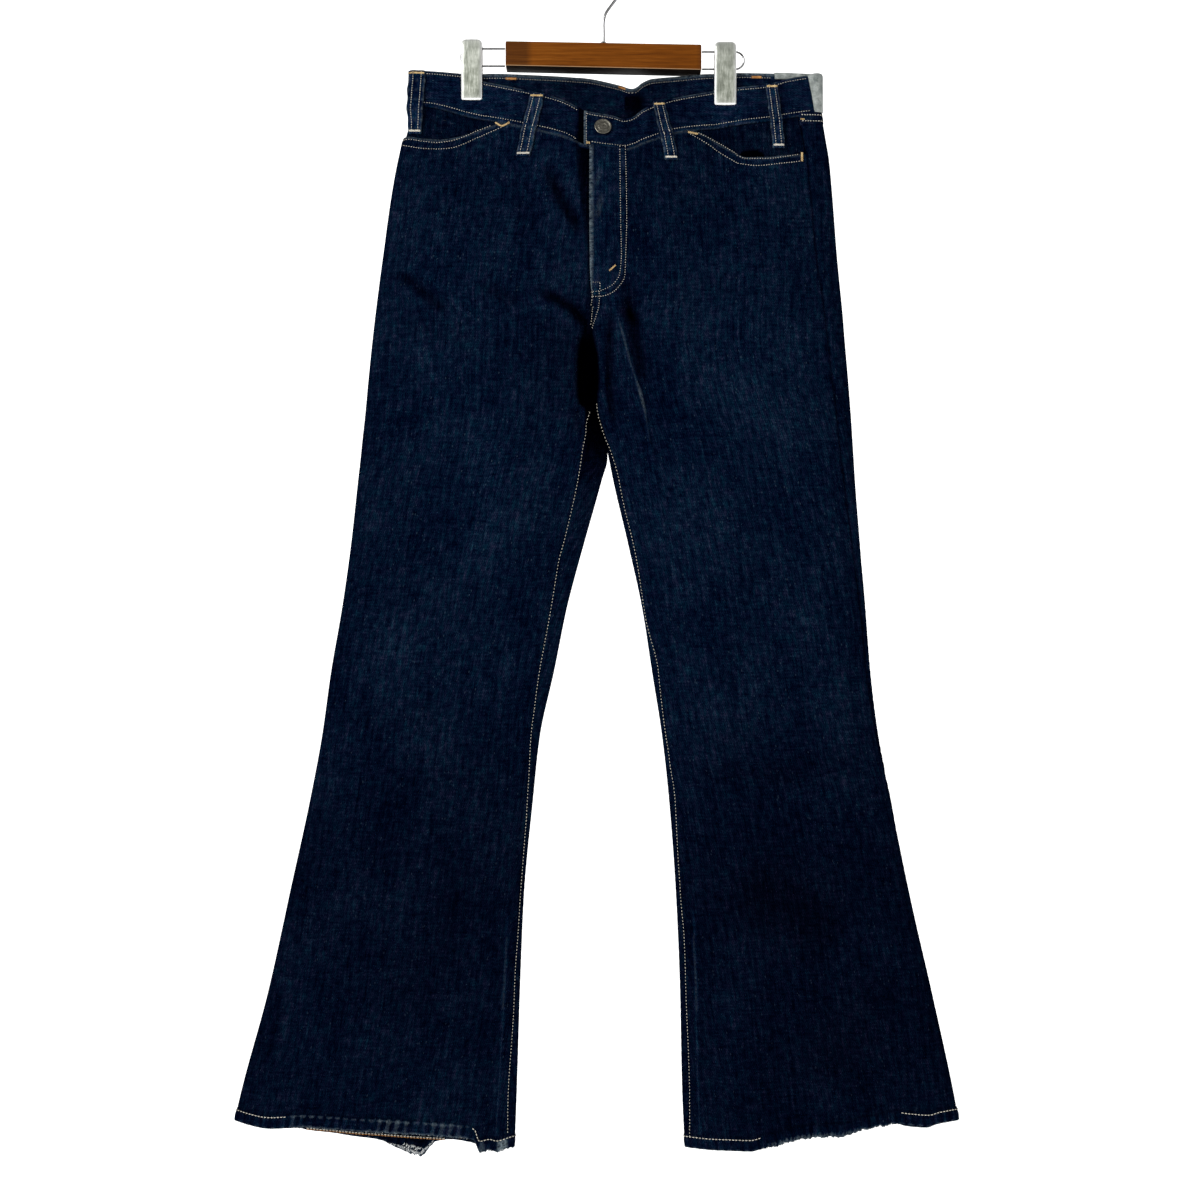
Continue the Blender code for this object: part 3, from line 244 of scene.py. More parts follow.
# The dark hollow between the legs, as the front view shows it: its left and
# right limits and how deep its shade is.
HOLLOW = [
    # drop  left  right  shade
    (356.0, -15.6, -13.4, 0.0),
    (366.0, -19.8, -10.0, 0.75),
    (378.5, -24.3, -7.6, 0.97),
    (391.0, -25.9, -4.6, 0.99),
    (418.0, -26.6, -3.9, 0.99),
    (439.0, -24.5, -5.6, 0.98),
    (446.0, -19.0, -5.4, 0.97),
    (462.0, -18.4, -0.6, 0.94),
    (482.0, -20.4, 6.0, 0.88),
    (498.0, -23.0, 11.4, 0.68),
    (520.0, -27.0, 17.5, 0.40),
    (560.0, -35.0, 25.0, 0.16),
    (610.0, -42.0, 32.0, 0.0),
]
# The shaded fold along the left of the lapped fly edge.
FLY_SHADE = [
    # drop  left  right  shade
    (170.0, -25.0, -12.6, 0.0),
    (178.0, -26.4, -12.6, 0.90),
    (206.0, -25.0, -12.4, 0.88),
    (232.0, -22.0, -12.2, 0.80),
    (262.0, -18.4, -12.0, 0.65),
    (290.0, -15.8, -11.8, 0.40),
    (322.0, -14.6, -11.8, 0.35),
    (345.0, -14.6, -12.4, 0.0),
]


def monotone(xs, ys):
    """A smooth curve through the points that never overshoots them."""
    xs, ys = np.asarray(xs, float), np.asarray(ys, float)
    h = np.diff(xs)
    slope = np.diff(ys) / h
    m = np.zeros(len(xs))
    m[0], m[-1] = slope[0], slope[-1]
    for i in range(1, len(xs) - 1):
        if slope[i - 1] * slope[i] > 0:
            w1, w2 = 2 * h[i] + h[i - 1], h[i] + 2 * h[i - 1]
            m[i] = (w1 + w2) / (w1 / slope[i - 1] + w2 / slope[i])

    def at(x):
        x = np.clip(x, xs[0], xs[-1])
        i = np.clip(np.searchsorted(xs, x) - 1, 0, len(xs) - 2)
        t = (x - xs[i]) / h[i]
        return (
            ys[i] * (1 + 2 * t) * (1 - t) ** 2
            + m[i] * h[i] * t * (1 - t) ** 2
            + ys[i + 1] * t * t * (3 - 2 * t)
            + m[i + 1] * h[i] * t * t * (t - 1)
        )

    return at


def column(table, key, value):
    return monotone([row[key] for row in table], [row[value] for row in table])


def smooth(t):
    t = np.clip(t, 0.0, 1.0)
    return t * t * (3 - 2 * t)


outer = {"R": column(SECTIONS, 0, 1), "L": column(SECTIONS, 0, 4)}
inner = {"R": column(SECTIONS, 0, 2), "L": column(SECTIONS, 0, 3)}
deep_front, deep_back = column(SECTIONS, 0, 5), column(SECTIONS, 0, 6)
outseam = {"R": column(SEAMS, 0, 1), "L": column(SEAMS, 0, 4)}
inseam = {"R": column(SEAMS, 0, 2), "L": column(SEAMS, 0, 3)}
front_top, front_seam = column(WAIST, 0, 1), column(WAIST, 0, 2)
front_out_top, front_out_seam = column(WAIST, 0, 3), column(WAIST, 0, 4)
back_top, back_seam = column(WAIST, 0, 5), column(WAIST, 0, 6)
back_out_top, back_out_seam = column(WAIST, 0, 7), column(WAIST, 0, 8)
mouth = {"R": column(MOUTH_R, 0, 1), "L": column(MOUTH_L, 0, 1)}
mouth_span = {"R": (-400.0, MOUTH_R[-1][0]), "L": (MOUTH_L[0][0], 400.0)}
hem_front, hem_back = column(HEMS, 0, 1), column(HEMS, 0, 2)
fly_bottom = column(FLY_J, 0, 1)


def swell(x, lo, hi, power):
    u = np.abs((x - (lo + hi) / 2) / ((hi - lo) / 2))
    return np.sqrt(np.clip(1 - np.clip(u, 0, 1) ** power, 0, 1))


def fold_round(x, drop):
    e = np.minimum(x - outer["R"](drop), outer["L"](drop) - x)
    u = 1 - np.clip(e / FOLD_RADIUS, 0, 1)
    return np.sqrt(np.clip(1 - u * u, 0, 1))


def form(x, drop, deep, seam, top, out_seam, out_top, split_from):
    hips = deep(drop) * swell(x, outer["R"](drop), outer["L"](drop), 3.0)
    leg_r = swell(x, outer["R"](drop), inner["R"](drop), 2.4)
    leg_l = swell(x, inner["L"](drop), outer["L"](drop), 2.4)
    legs = deep(drop) * np.where(x < (inner["R"](drop) + inner["L"](drop)) / 2, leg_r, leg_l)
    body = hips + (legs - hips) * smooth((drop - split_from) / (CROTCH - split_from))
    lean = np.clip((seam(x) - drop) / (seam(x) - top(x)), 0, 1)
    lean = 1 - (1 - lean) ** 2.0
    waist = (out_seam(x) + (out_top(x) - out_seam(x)) * lean) * fold_round(x, drop)
    return body + (waist - body) * (1 - smooth((drop - seam(x)) / 130.0))


def front_base(x, d):
    return form(x, d, deep_front, front_seam, front_top, front_out_seam, front_out_top, 296.0)


def back_base(x, d):
    return form(x, d, deep_back, back_seam, back_top, back_out_seam, back_out_top, 280.0)


def seen(x, drop):
    """The (x, drop) on the front that the photograph's view shows at this x
    and drop of the middle plane."""
    ex, ed, far = EYE
    x, drop = np.asarray(x, float), np.asarray(drop, float)
    ax, ad = x, drop
    for _ in range(7):
        nearer = 1 - front_base(ax, ad) / far
        ax, ad = ex + (x - ex) * nearer, ed + (drop - ed) * nearer
    return ax, ad


def line_field(points, x, d):
    """Signed distance to a line of points, and the place along it, 0 to 1."""
    p = np.asarray(points, float)
    seg = np.diff(p, axis=0)
    lens = np.hypot(seg[:, 0], seg[:, 1])
    starts = np.concatenate([[0], np.cumsum(lens)])
    best = np.full(x.shape, 1e9)
    side_of = np.zeros(x.shape)
    place = np.zeros(x.shape)
    for i in range(len(seg)):
        rx, rd = x - p[i, 0], d - p[i, 1]
        t = (rx * seg[i, 0] + rd * seg[i, 1]) / lens[i] ** 2
        tc = np.clip(t, 0, 1)
        dist = np.hypot(rx - tc * seg[i, 0], rd - tc * seg[i, 1])
        closer = dist < best
        cross = (seg[i, 0] * rd - seg[i, 1] * rx) / lens[i]
        best = np.where(closer, dist, best)
        side_of = np.where(closer, np.sign(cross), side_of)
        along_it = starts[i] + t * lens[i] if i == 0 else starts[i] + tc * lens[i]
        if i == len(seg) - 1:
            along_it = starts[i] + np.maximum(t, 0) * lens[i]
        place = np.where(closer, along_it / starts[-1], place)
    return best * side_of, place


PLACED = []
for face, points, half, height, counter, shade in CREASES:
    xs, ds = [p[0] for p in points], [p[1] for p in points]
    if face == "front":
        xs, ds = (v.tolist() for v in seen(xs, ds))
    PLACED.append((face, list(zip(xs, ds)), xs, ds, half, height, counter, shade))


def crease_sum(face, x, d, shading=False):
    total = np.zeros(np.broadcast(x, d).shape)
    for f, points, xs, ds, half, height, counter, shade in PLACED:
        if f != face:
            continue
        reach = 5 * half
        near = (x > min(xs) - reach) & (x < max(xs) + reach) & (d > min(ds) - reach) & (d < max(ds) + reach)
        if not near.any():
            continue
        off, place = line_field(points, x[near], d[near])
        fade = smooth(place / 0.3) * smooth((1 - place) / 0.22)
        # with shading, the tone: painted shade along troughs, and ridges paler as wear and as painted highlight
        if shading:
            wide = (1.45 if shade < 0 else 1.0) * half
            total[near] += 1.25 * shade * fade * np.exp(-((off / wide) ** 2))
        else:
            shape = np.exp(-((off / half) ** 2))
            beside = np.exp(-(((off - 1.9 * half) / (1.2 * half)) ** 2))
            total[near] += height * fade * (shape - counter * beside)
    return total


def in_view(x, d, out):
    """Where the photograph's view shows a point this far in front of the
    middle plane."""
    ex, ed, far = EYE
    k = far / (far - out)
    return ex + (x - ex) * k, ed + (d - ed) * k


def band_mask(table, vx, vd, soft_left, soft_right):
    left, right = column(table, 0, 1), column(table, 0, 2)
    shade = column(table, 0, 3)
    inside = smooth((vx - left(vd)) / soft_left + 0.5) * smooth((right(vd) - vx) / soft_right + 0.5)
    return inside * shade(vd) * ((vd > table[0][0]) & (vd < table[-1][0]))


WAVES = [
    # face  across_mm  down_mm  height  phase
    ("front", 96.0, 900.0, 0.9, 0.6),
    ("front", 61.0, 520.0, 0.55, 2.1),
    ("front", 38.0, 300.0, 0.3, 4.0),
    ("front", 210.0, 140.0, 0.7, 1.2),
    ("back", 88.0, 800.0, 1.1, 3.3),
    ("back", 57.0, 420.0, 0.6, 0.9),
    ("back", 36.0, 260.0, 0.35, 5.1),
    ("back", 190.0, 150.0, 0.9, 2.6),
]


def waves(face, x, d):
    total = 0.0 * x
    for f, wx, wd, height, phase in WAVES:
        if f == face:
            sway = 0.7 * np.sin(d / 170.0 + phase)
            total = total + height * np.sin(2 * math.pi * x / wx + phase + sway) * np.cos(
                2 * math.pi * d / wd + 1.7 * phase
            )
    return total


def front_out(x, d):
    x, d = np.broadcast_arrays(np.asarray(x, float), np.asarray(d, float))
    base = front_base(x, d)
    held = smooth((d - front_seam(x)) / 90.0)
    keep = np.clip(base / 9.0, 0, 1)
    deep = band_mask(HOLLOW, x, d, 4.0, 4.0) * (1 - smooth((d - 425.0) / 30.0))
    base = base * (1 - 0.8 * deep)
    fold = band_mask(FLY_SHADE, x, d, 5.0, 2.0)
    base = base - 4.5 * fold * smooth((base - 6.0) / 8.0)
    return base + (crease_sum("front", x, d) * smooth((d - front_seam(x) + 24) / 20.0) + waves("front", x, d) * held) * keep


def back_out(x, d):
    x, d = np.broadcast_arrays(np.asarray(x, float), np.asarray(d, float))
    base = back_base(x, d)
    held = smooth((d - back_seam(x)) / 90.0)
    keep = np.clip(base / 9.0, 0, 1)
    return base + (crease_sum("back", x, d) + waves("back", x, d)) * keep * held


# ---------------------------------------------------------------- rings
ROW0, ROW_STEP, ROW_COUNT = 92.0, 2.0, 560
HALF_STEPS, PLACES = 200, 700
DROPS = ROW0 + ROW_STEP * np.arange(ROW_COUNT)
RINGS = {}
for side in "RL":
    k = (1 - np.cos(np.linspace(0, math.pi, HALF_STEPS + 1))) / 2
    xo, xi = outer[side](DROPS)[:, None], inner[side](DROPS)[:, None]
    X = xo + (xi - xo) * k[None, :]
    D = np.repeat(DROPS[:, None], HALF_STEPS + 1, 1)
    FY, BY = -front_out(X, D), back_out(X, D)
    FY[:, 0] = BY[:, 0] = 0
    below = DROPS >= CROTCH
    FY[below, -1] = BY[below, -1] = 0
    ring = {}
    for name, Y in (("front", FY), ("back", BY)):
        seg = np.hypot(np.diff(X, axis=1), np.diff(Y, axis=1))
        s = np.concatenate([np.zeros((ROW_COUNT, 1)), np.cumsum(seg, 1)], 1)
        at = np.linspace(0, 1, PLACES + 1)
        ring[name + "_x"] = np.array([np.interp(at * s[i, -1], s[i], X[i]) for i in range(ROW_COUNT)])
        ring[name + "_y"] = np.array([np.interp(at * s[i, -1], s[i], Y[i]) for i in range(ROW_COUNT)])
        ring[name + "_t"] = s[:, -1]
        ring[name + "_s"], ring["X"] = s, X
    RINGS[side] = ring


def total_of(side, name, d):
    at = np.clip((d - ROW0) / ROW_STEP, 0, ROW_COUNT - 1.001)
    i = at.astype(int)
    t = RINGS[side][name + "_t"]
    return t[i] + (t[i + 1] - t[i]) * (at - i)


def length_to(side, name, d, x):
    """Length of cloth from the outer fold to x on one face."""
    d, x = np.broadcast_arrays(np.asarray(d, float), np.asarray(x, float))
    out = np.zeros(d.shape)
    r = RINGS[side]
    flip = r["X"][0, -1] < r["X"][0, 0]
    for idx in np.ndindex(d.shape):
        at = min(max((d[idx] - ROW0) / ROW_STEP, 0), ROW_COUNT - 1.001)
        i = int(at)
        vals = []
        for j in (i, i + 1):
            xs, ss = r["X"][j], r[name + "_s"][j]
            vals.append(np.interp(x[idx], xs[::-1], ss[::-1]) if flip else np.interp(x[idx], xs, ss))
        out[idx] = vals[0] + (vals[1] - vals[0]) * (at - i)
    return out


def along(side, s, d):
    """x and y at this length of cloth from the outer fold, positive in front.
    Past the centre of a leg it carries on round the inner fold."""
    s, d = np.broadcast_arrays(np.asarray(s, float), np.asarray(d, float))
    tf, tb = total_of(side, "front", d), total_of(side, "back", d)
    leg = d >= CROTCH
    over_f, over_b = s - tf, -s - tb
    s2 = np.where(leg & (over_f > 0), -(tb - over_f), s)
    s2 = np.where(leg & (over_b > 0), tf - over_b, s2)
    r = RINGS[side]
    at = np.clip((d - ROW0) / ROW_STEP, 0, ROW_COUNT - 1.001)
    i = at.astype(int)
    frac = at - i
    out = []
    for part in "xy":
        vals = 0.0
        for j, w in ((i, 1 - frac), (i + 1, frac)):
            got = None
            for name, pick in (("front", s2 >= 0), ("back", s2 < 0)):
                q = np.clip(np.abs(s2) / r[name + "_t"][j], 0, 0.999999) * PLACES
                m = q.astype(int)
                a = r[f"{name}_{part}"]
                v = a[j, m] + (a[j, m + 1] - a[j, m]) * (q - m)
                got = np.where(pick, v, got if got is not None else 0)
            vals = vals + w * got
        out.append(vals)
    x, y = out
    # Above the crotch the cloth may carry on past the centre line in front.
    past = (~leg) & (over_f > 0)
    if past.any():
        sign = 1 if side == "R" else -1
        x = np.where(past, inner[side](d) + sign * over_f, x)
        y = np.where(past, -front_out(x, d), y)
    return x, y


def along3(side, s, d):
    x, y = along(side, s, d)
    d = np.broadcast_to(d, x.shape)
    return np.stack([x, y, -d], -1)


def normal_at(side, s, d):
    a, b = along3(side, s + 1.0, d), along3(side, s - 1.0, d)
    d = np.broadcast_to(np.asarray(d, float), a.shape[:-1])
    up = np.where((d < CROTCH) & (d + 1.5 >= CROTCH), 0.0, 1.5)
    dn = np.where((d >= CROTCH) & (d - 1.5 < CROTCH), 0.0, 1.5)
    c, e = along3(side, s, d + up), along3(side, s, d - dn)
    n = np.cross(a - b, c - e)
    n /= np.maximum(np.linalg.norm(n, axis=-1, keepdims=True), 1e-9)
    return -n if side == "R" else n


def on_side(side, s, d, out=0.0):
    n = normal_at(side, s, d)
    return along3(side, s, d) + np.asarray(out)[..., None] * n if np.ndim(out) else along3(side, s, d) + out * n


def on_face(face, x, d, out=0.0):
    """A point this far outside one face of the jeans."""
    x, d = np.broadcast_arrays(np.asarray(x, float), np.asarray(d, float))
    f, sign = (front_out, -1.0) if face == "front" else (back_out, 1.0)
    y = f(x, d)
    dx = f(x + 0.6, d) - f(x - 0.6, d)
    dd = f(x, d + 0.6) - f(x, d - 0.6)
    n = np.stack([-dx / 1.2, np.full_like(x, sign), dd / 1.2], -1)
    n /= np.linalg.norm(n, axis=-1, keepdims=True)
    out = np.broadcast_to(np.asarray(out, float), x.shape)
    return np.stack([x, sign * y, -d], -1) + out[..., None] * n


def edges(side, d):
    """Length of cloth to the side seam, and to the centre or inside seam by
    the front and by the back, for a list of drops."""
    sign = 1 if side == "R" else -1
    e = outseam[side](d)
    xo = outer[side](d)
    front_e = length_to(side, "front", d, xo + sign * np.maximum(e, 0))
    back_e = length_to(side, "back", d, xo + sign * np.maximum(-e, 0))
    side_at = np.where(e >= 0, front_e, -back_e)
    tf, tb = total_of(side, "front", d), total_of(side, "back", d)
    wrap = np.where(
        d >= CROTCH, tf - length_to(side, "front", d, inner[side](d) - sign * inseam[side](d)), 0.0
    )
    return side_at, tf - wrap, tb + wrap


EDGE_DROPS = np.arange(100.0, 1202.0, 4.0)
EDGES = {side: [np.array(v) for v in edges(side, EDGE_DROPS)] for side in "RL"}


def edge_at(side, which, d):
    return np.interp(d, EDGE_DROPS, EDGES[side][which])


# ================================================================ meshes
def material(name):
    m = bpy.data.materials.new(name)
    m.use_nodes = True
    return m, m.node_tree, m.node_tree.nodes["Principled BSDF"]


def mesh_piece(name, verts, faces, mat, attrs=None, smooth_shade=True, sharp=None):
    mesh = bpy.data.meshes.new(name)
    verts = np.asarray(verts, float) * MM
    mesh.from_pydata(verts.tolist(), [], [tuple(map(int, f)) for f in faces])
    for key, values in (attrs or {}).items():
        values = np.asarray(values, float)
        if values.ndim == 2:
            a = mesh.attributes.new(key, "FLOAT_VECTOR", "POINT")
            a.data.foreach_set("vector", values.reshape(-1))
        else:
            a = mesh.attributes.new(key, "FLOAT", "POINT")
            a.data.foreach_set("value", values)
    mesh.materials.append(mat)
    if smooth_shade:
        mesh.shade_smooth()
        if sharp:
            mesh.set_sharp_from_angle(angle=math.radians(sharp))
    obj = bpy.data.objects.new(name, mesh)
    bpy.context.scene.collection.objects.link(obj)
    return obj


def shell(name, O, I, mat, closed=False, cloth=None, tone=None, rim=0.8, sharp=None, inner_tone=None):
    """A sheet between an outer and an inner grid of points, with a rounded rim."""
    rows, cols = O.shape[:2]
    n = rows * cols
    idx = np.arange(n).reshape(rows, cols)
    nxt = np.roll(idx, -1, 1) if closed else None
    if closed:
        a, b = idx[:-1], nxt[:-1]
        c, d = nxt[1:], idx[1:]
    else:
        a, b, c, d = idx[:-1, :-1], idx[:-1, 1:], idx[1:, 1:], idx[1:, :-1]
    quads = np.stack([a, b, c, d], -1).reshape(-1, 4)
    # Make the outer face look outwards.
    p = O.reshape(-1, 3)
    q = quads[:: max(1, len(quads) // 500)]
    face_n = np.cross(p[q[:, 1]] - p[q[:, 0]], p[q[:, 3]] - p[q[:, 0]])
    out_dir = (O - I).reshape(-1, 3)[q[:, 0]]
    flip = (face_n * out_dir).sum() < 0
    if flip:
        quads = quads[:, ::-1]
    faces = [quads, quads[:, ::-1] + n]
    verts = [O.reshape(-1, 3), I.reshape(-1, 3)]
    cl = [cloth.reshape(-1, 3)] * 2 if cloth is not None else None
    tn = [tone.reshape(-1), (tone if inner_tone is None else inner_tone).reshape(-1)] if tone is not None else None
    count = 2 * n

    def add_rim(loop, inward):
        nonlocal count
        o, i = O.reshape(-1, 3)[loop], I.reshape(-1, 3)[loop]
        t = o - O.reshape(-1, 3)[inward]
        nn = o - i
        thick = np.linalg.norm(nn, axis=1, keepdims=True)
        nn = nn / np.maximum(thick, 1e-9)
        t = t - (t * nn).sum(1, keepdims=True) * nn
        t /= np.maximum(np.linalg.norm(t, axis=1, keepdims=True), 1e-9)
        verts.append((o + i) / 2 + t * thick / 2 * rim)
        m = np.arange(count, count + len(loop))
        count += len(loop)
        if cl is not None:
            cl.append(cloth.reshape(-1, 3)[loop])
        if tn is not None:
            tn.append(tone.reshape(-1)[loop])
        l2, m2 = np.roll(loop, -1), np.roll(m, -1)
        f1 = np.stack([l2, loop, m, m2], -1)
        f2 = np.stack([m2, m, loop + n, l2 + n], -1)
        both = np.concatenate([f1, f2])
        faces.append(both[:, ::-1] if flip else both)

    if closed:
        add_rim(idx[0], idx[1])
        add_rim(idx[-1][::-1], idx[-2][::-1])
    else:
        loop = np.concatenate([idx[0, :-1], idx[:-1, -1], idx[-1, :0:-1], idx[:0:-1, 0]])
        inn = np.concatenate([idx[1, :-1], idx[:-1, -2], idx[-2, :0:-1], idx[:0:-1, 1]])
        inn[0] = idx[1, 1]
        inn[cols - 1] = idx[1, -2]
        inn[cols + rows - 2] = idx[-2, -2]
        inn[2 * cols + rows - 3] = idx[-2, 1]
        add_rim(loop, inn)
    attrs = {}
    if cl is not None:
        attrs["cloth"] = np.concatenate(cl)
    if tn is not None:
        attrs["tone"] = np.concatenate(tn)
    return mesh_piece(name, np.concatenate(verts), np.concatenate(faces), mat, attrs, True, sharp)


# ================================================================ materials
def node(tree, kind, **values):
    n = tree.nodes.new("ShaderNode" + kind)
    for key, value in values.items():
        if key.startswith("i_"):
            n.inputs[key[2:].replace("_", " ")].default_value = value
        else:
            setattr(n, key, value)
    return n


def maths(tree, op, a, b=None, clamp=False):
    n = tree.nodes.new("ShaderNodeMath")
    n.operation, n.use_clamp = op, clamp
    for k, v in enumerate((a, b)):
        if v is None:
            continue
        if isinstance(v, (int, float)):
            n.inputs[k].default_value = v
        else:
            tree.links.new(v, n.inputs[k])
    return n.outputs[0]


def ramp(tree, fac, stops, mode="LINEAR"):
    n = tree.nodes.new("ShaderNodeValToRGB")
    n.color_ramp.interpolation = mode
    els = n.color_ramp.elements
    while len(els) < len(stops):
        els.new(0.5)
    for e, (pos, col) in zip(els, stops):
        e.position = pos
        e.color = (*col, 1.0) if len(col) == 3 else col
    tree.links.new(fac, n.inputs[0])
    return n.outputs[0]


def scaled(tree, vec, scale, shift=(0, 0, 0)):
    n = tree.nodes.new("ShaderNodeMapping")
    n.inputs["Scale"].default_value = scale
    n.inputs["Location"].default_value = shift
    tree.links.new(vec, n.inputs["Vector"])
    return n.outputs[0]


def noise(tree, vec, scale, detail=2.0, rough=0.5):
    n = tree.nodes.new("ShaderNodeTexNoise")
    n.inputs["Scale"].default_value = scale
    n.inputs["Detail"].default_value = detail
    n.inputs["Roughness"].default_value = rough
    tree.links.new(vec, n.inputs["Vector"])
    return n.outputs["Fac"]


def mix(tree, fac, a, b, kind="MIX"):
    n = tree.nodes.new("ShaderNodeMix")
    n.data_type, n.blend_type = "RGBA", kind
    for socket, v in ((n.inputs[0], fac), (n.inputs[6], a), (n.inputs[7], b)):
        if isinstance(v, (int, float)):
            socket.default_value = v
        elif isinstance(v, tuple):
            socket.default_value = (*v, 1.0) if len(v) == 3 else v
        else:
            tree.links.new(v, socket)
    return n.outputs[2]


def denim(name, bright=1.0):
    """Raw, very dark ring-spun denim: warp streaks down the cloth, weft slubs
    across it, a fine twill, and small shifts of hue between teal and violet."""
    m, tree, shader = material(name)
    cloth = node(tree, "Attribute", attribute_name="cloth").outputs["Vector"]
    tone = node(tree, "Attribute", attribute_name="tone").outputs["Fac"]
    grain = noise(tree, scaled(tree, cloth, (760, 560, 1)), 1.0, 2.0, 0.65)
    streak = noise(tree, scaled(tree, cloth, (560, 42, 1)), 1.0, 2.0, 0.6)
    long_streak = noise(tree, scaled(tree, cloth, (210, 9, 1)), 1.0, 2.0, 0.55)
    slub = noise(tree, scaled(tree, cloth, (70, 430, 1)), 1.0, 2.0, 0.55)
    mottle = noise(tree, scaled(tree, cloth, (170, 120, 1), (3.1, 1.7, 0)), 1.0, 3.0, 0.6)
    blotch = noise(tree, scaled(tree, cloth, (15, 10, 1)), 1.0, 3.0, 0.55)
    rot = node(tree, "Mapping")
    rot.inputs["Rotation"].default_value = (0, 0, math.radians(32))
    tree.links.new(cloth, rot.inputs["Vector"])
    twill = node(tree, "TexWave", wave_type="BANDS", bands_direction="X", wave_profile="SIN")
    twill.inputs["Scale"].default_value = 190.0
    twill.inputs["Distortion"].default_value = 1.4
    twill.inputs["Detail"].default_value = 1.0
    twill.inputs["Detail Scale"].default_value = 2.0
    tree.links.new(rot.outputs[0], twill.inputs["Vector"])
    a = maths(tree, "MULTIPLY", grain, 0.50)
    for fac, gain in ((streak, 0.36), (long_streak, 0.22), (slub, 0.26), (mottle, 0.44), (blotch, 0.32)):
        a = maths(tree, "ADD", a, maths(tree, "MULTIPLY", fac, gain))
    a = maths(tree, "ADD", a, maths(tree, "MULTIPLY", twill.outputs["Fac"], 0.09))
    a = maths(tree, "SUBTRACT", a, 0.90)
    a = maths(tree, "MULTIPLY", a, 2.5, True)
    colour = ramp(
        tree,
        a,
        [
            (0.0, (0.0, 0.0003, 0.0030)),
            (0.30, (0.0003, 0.0016, 0.0076)),
            (0.55, (0.0013, 0.0040, 0.0132)),
            (0.80, (0.0038, 0.0086, 0.0215)),
            (1.0, (0.0095, 0.0165, 0.0345)),
        ],
    )
    hue = noise(tree, scaled(tree, cloth, (330, 90, 1), (8.3, 2.9, 0)), 1.0, 2.0, 0.6)
    tint = ramp(tree, hue, [(0.36, (0.40, 1.12, 0.95)), (0.5, (0.85, 1.0, 0.95)), (0.64, (1.55, 0.95, 1.0))])
    colour = mix(tree, 1.0, colour, tint, "MULTIPLY")
    # pale flecks of the undyed weft
    fleck = node(tree, "TexVoronoi", feature="F1")
    fleck.inputs["Scale"].default_value = 1.0
    tree.links.new(scaled(tree, cloth, (330, 150, 1)), fleck.inputs["Vector"])
    spot = maths(tree, "LESS_THAN", fleck.outputs["Distance"], 0.17)
    pick = maths(tree, "GREATER_THAN", noise(tree, scaled(tree, cloth, (120, 90, 1)), 1.0, 1.0), 0.58)
    spot = maths(tree, "MULTIPLY", maths(tree, "MULTIPLY", spot, pick), 0.5)
    colour = mix(tree, spot, colour, (0.020, 0.034, 0.052))
    # tone 1 is plain, less is darker from fading and from painted shade, and above WORN the pale threads show, as wear
    # and as painted highlight on crease ridges
    worn = maths(tree, "SUBTRACT", tone, WORN, True)
    low = maths(tree, "MINIMUM", tone, WORN)
    shade = node(tree, "CombineColor")
    for k, power in enumerate((1.0, 1.2, 0.95)):
        tree.links.new(maths(tree, "MULTIPLY", maths(tree, "POWER", low, power), bright), shade.inputs[k])
    colour = mix(tree, 1.0, colour, shade.outputs[0], "MULTIPLY")
    rub = noise(tree, scaled(tree, cloth, (520, 330, 1)), 1.0, 2.0, 0.7)
    worn = maths(tree, "MULTIPLY", worn, ramp_value(tree, rub, 0.32, 0.68))
    colour = mix(tree, worn, colour, (0.145, 0.185, 0.205))
    tree.links.new(colour, shader.inputs["Base Color"])
    shader.inputs["Roughness"].default_value = 0.9
    shader.inputs["Specular IOR Level"].default_value = 0.0
    height = maths(tree, "ADD", maths(tree, "MULTIPLY", twill.outputs["Fac"], 0.4), maths(tree, "MULTIPLY", streak, 0.8))
    height = maths(tree, "ADD", height, maths(tree, "MULTIPLY", grain, 0.6))
    bump = node(tree, "Bump")
    bump.inputs["Strength"].default_value = 0.8
    bump.inputs["Distance"].default_value = 0.0006
    tree.links.new(height, bump.inputs["Height"])
    tree.links.new(bump.outputs[0], shader.inputs["Normal"])
    return m


def ramp_value(tree, value, lo, hi):
    return maths(tree, "DIVIDE", maths(tree, "SUBTRACT", value, lo), hi - lo, True)


def thread(name, colour, dark):
    m, tree, shader = material(name)
    coord = node(tree, "TexCoord").outputs["Object"]
    n = noise(tree, coord, 260.0, 2.0)
    tree.links.new(ramp(tree, n, [(0.3, dark), (0.65, colour)]), shader.inputs["Base Color"])
    shader.inputs["Roughness"].default_value = 0.8
    shader.inputs["Specular IOR Level"].default_value = 0.15
    bump = node(tree, "Bump")
    bump.inputs["Strength"].default_value = 0.4
    bump.inputs["Distance"].default_value = 0.0002
    tree.links.new(noise(tree, coord, 1800.0, 1.0), bump.inputs["Height"])
    tree.links.new(bump.outputs[0], shader.inputs["Normal"])
    return m


DENIM = denim("denim")
DENIM_BAND = denim("denim_band", bright=1.25)
DENIM_POCKET = denim("denim_pocket", bright=0.85)
DENIM_HEM = denim("denim_hem", bright=1.0)
DENIM_LOOP = denim("denim_loop", bright=1.5)
TAN = thread("thread_cream_worn", (0.44, 0.41, 0.35), (0.22, 0.21, 0.185))
CREAM = thread("thread_cream", (0.57, 0.54, 0.46), (0.34, 0.32, 0.28))
INSEAM = thread("thread_cream_dull", (0.48, 0.45, 0.37), (0.26, 0.25, 0.21))
GOLD = thread("thread_gold", (0.52, 0.38, 0.19), (0.34, 0.22, 0.09))
RUST = thread("thread_rust", (0.46, 0.22, 0.07), (0.28, 0.12, 0.035))


def finish_piece(obj, slot, *nodes, flat=None, area=None, held="hung", rests="waistband", extra=()):
    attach(obj, "root")
    if nodes:
        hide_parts(*nodes)
    return obj


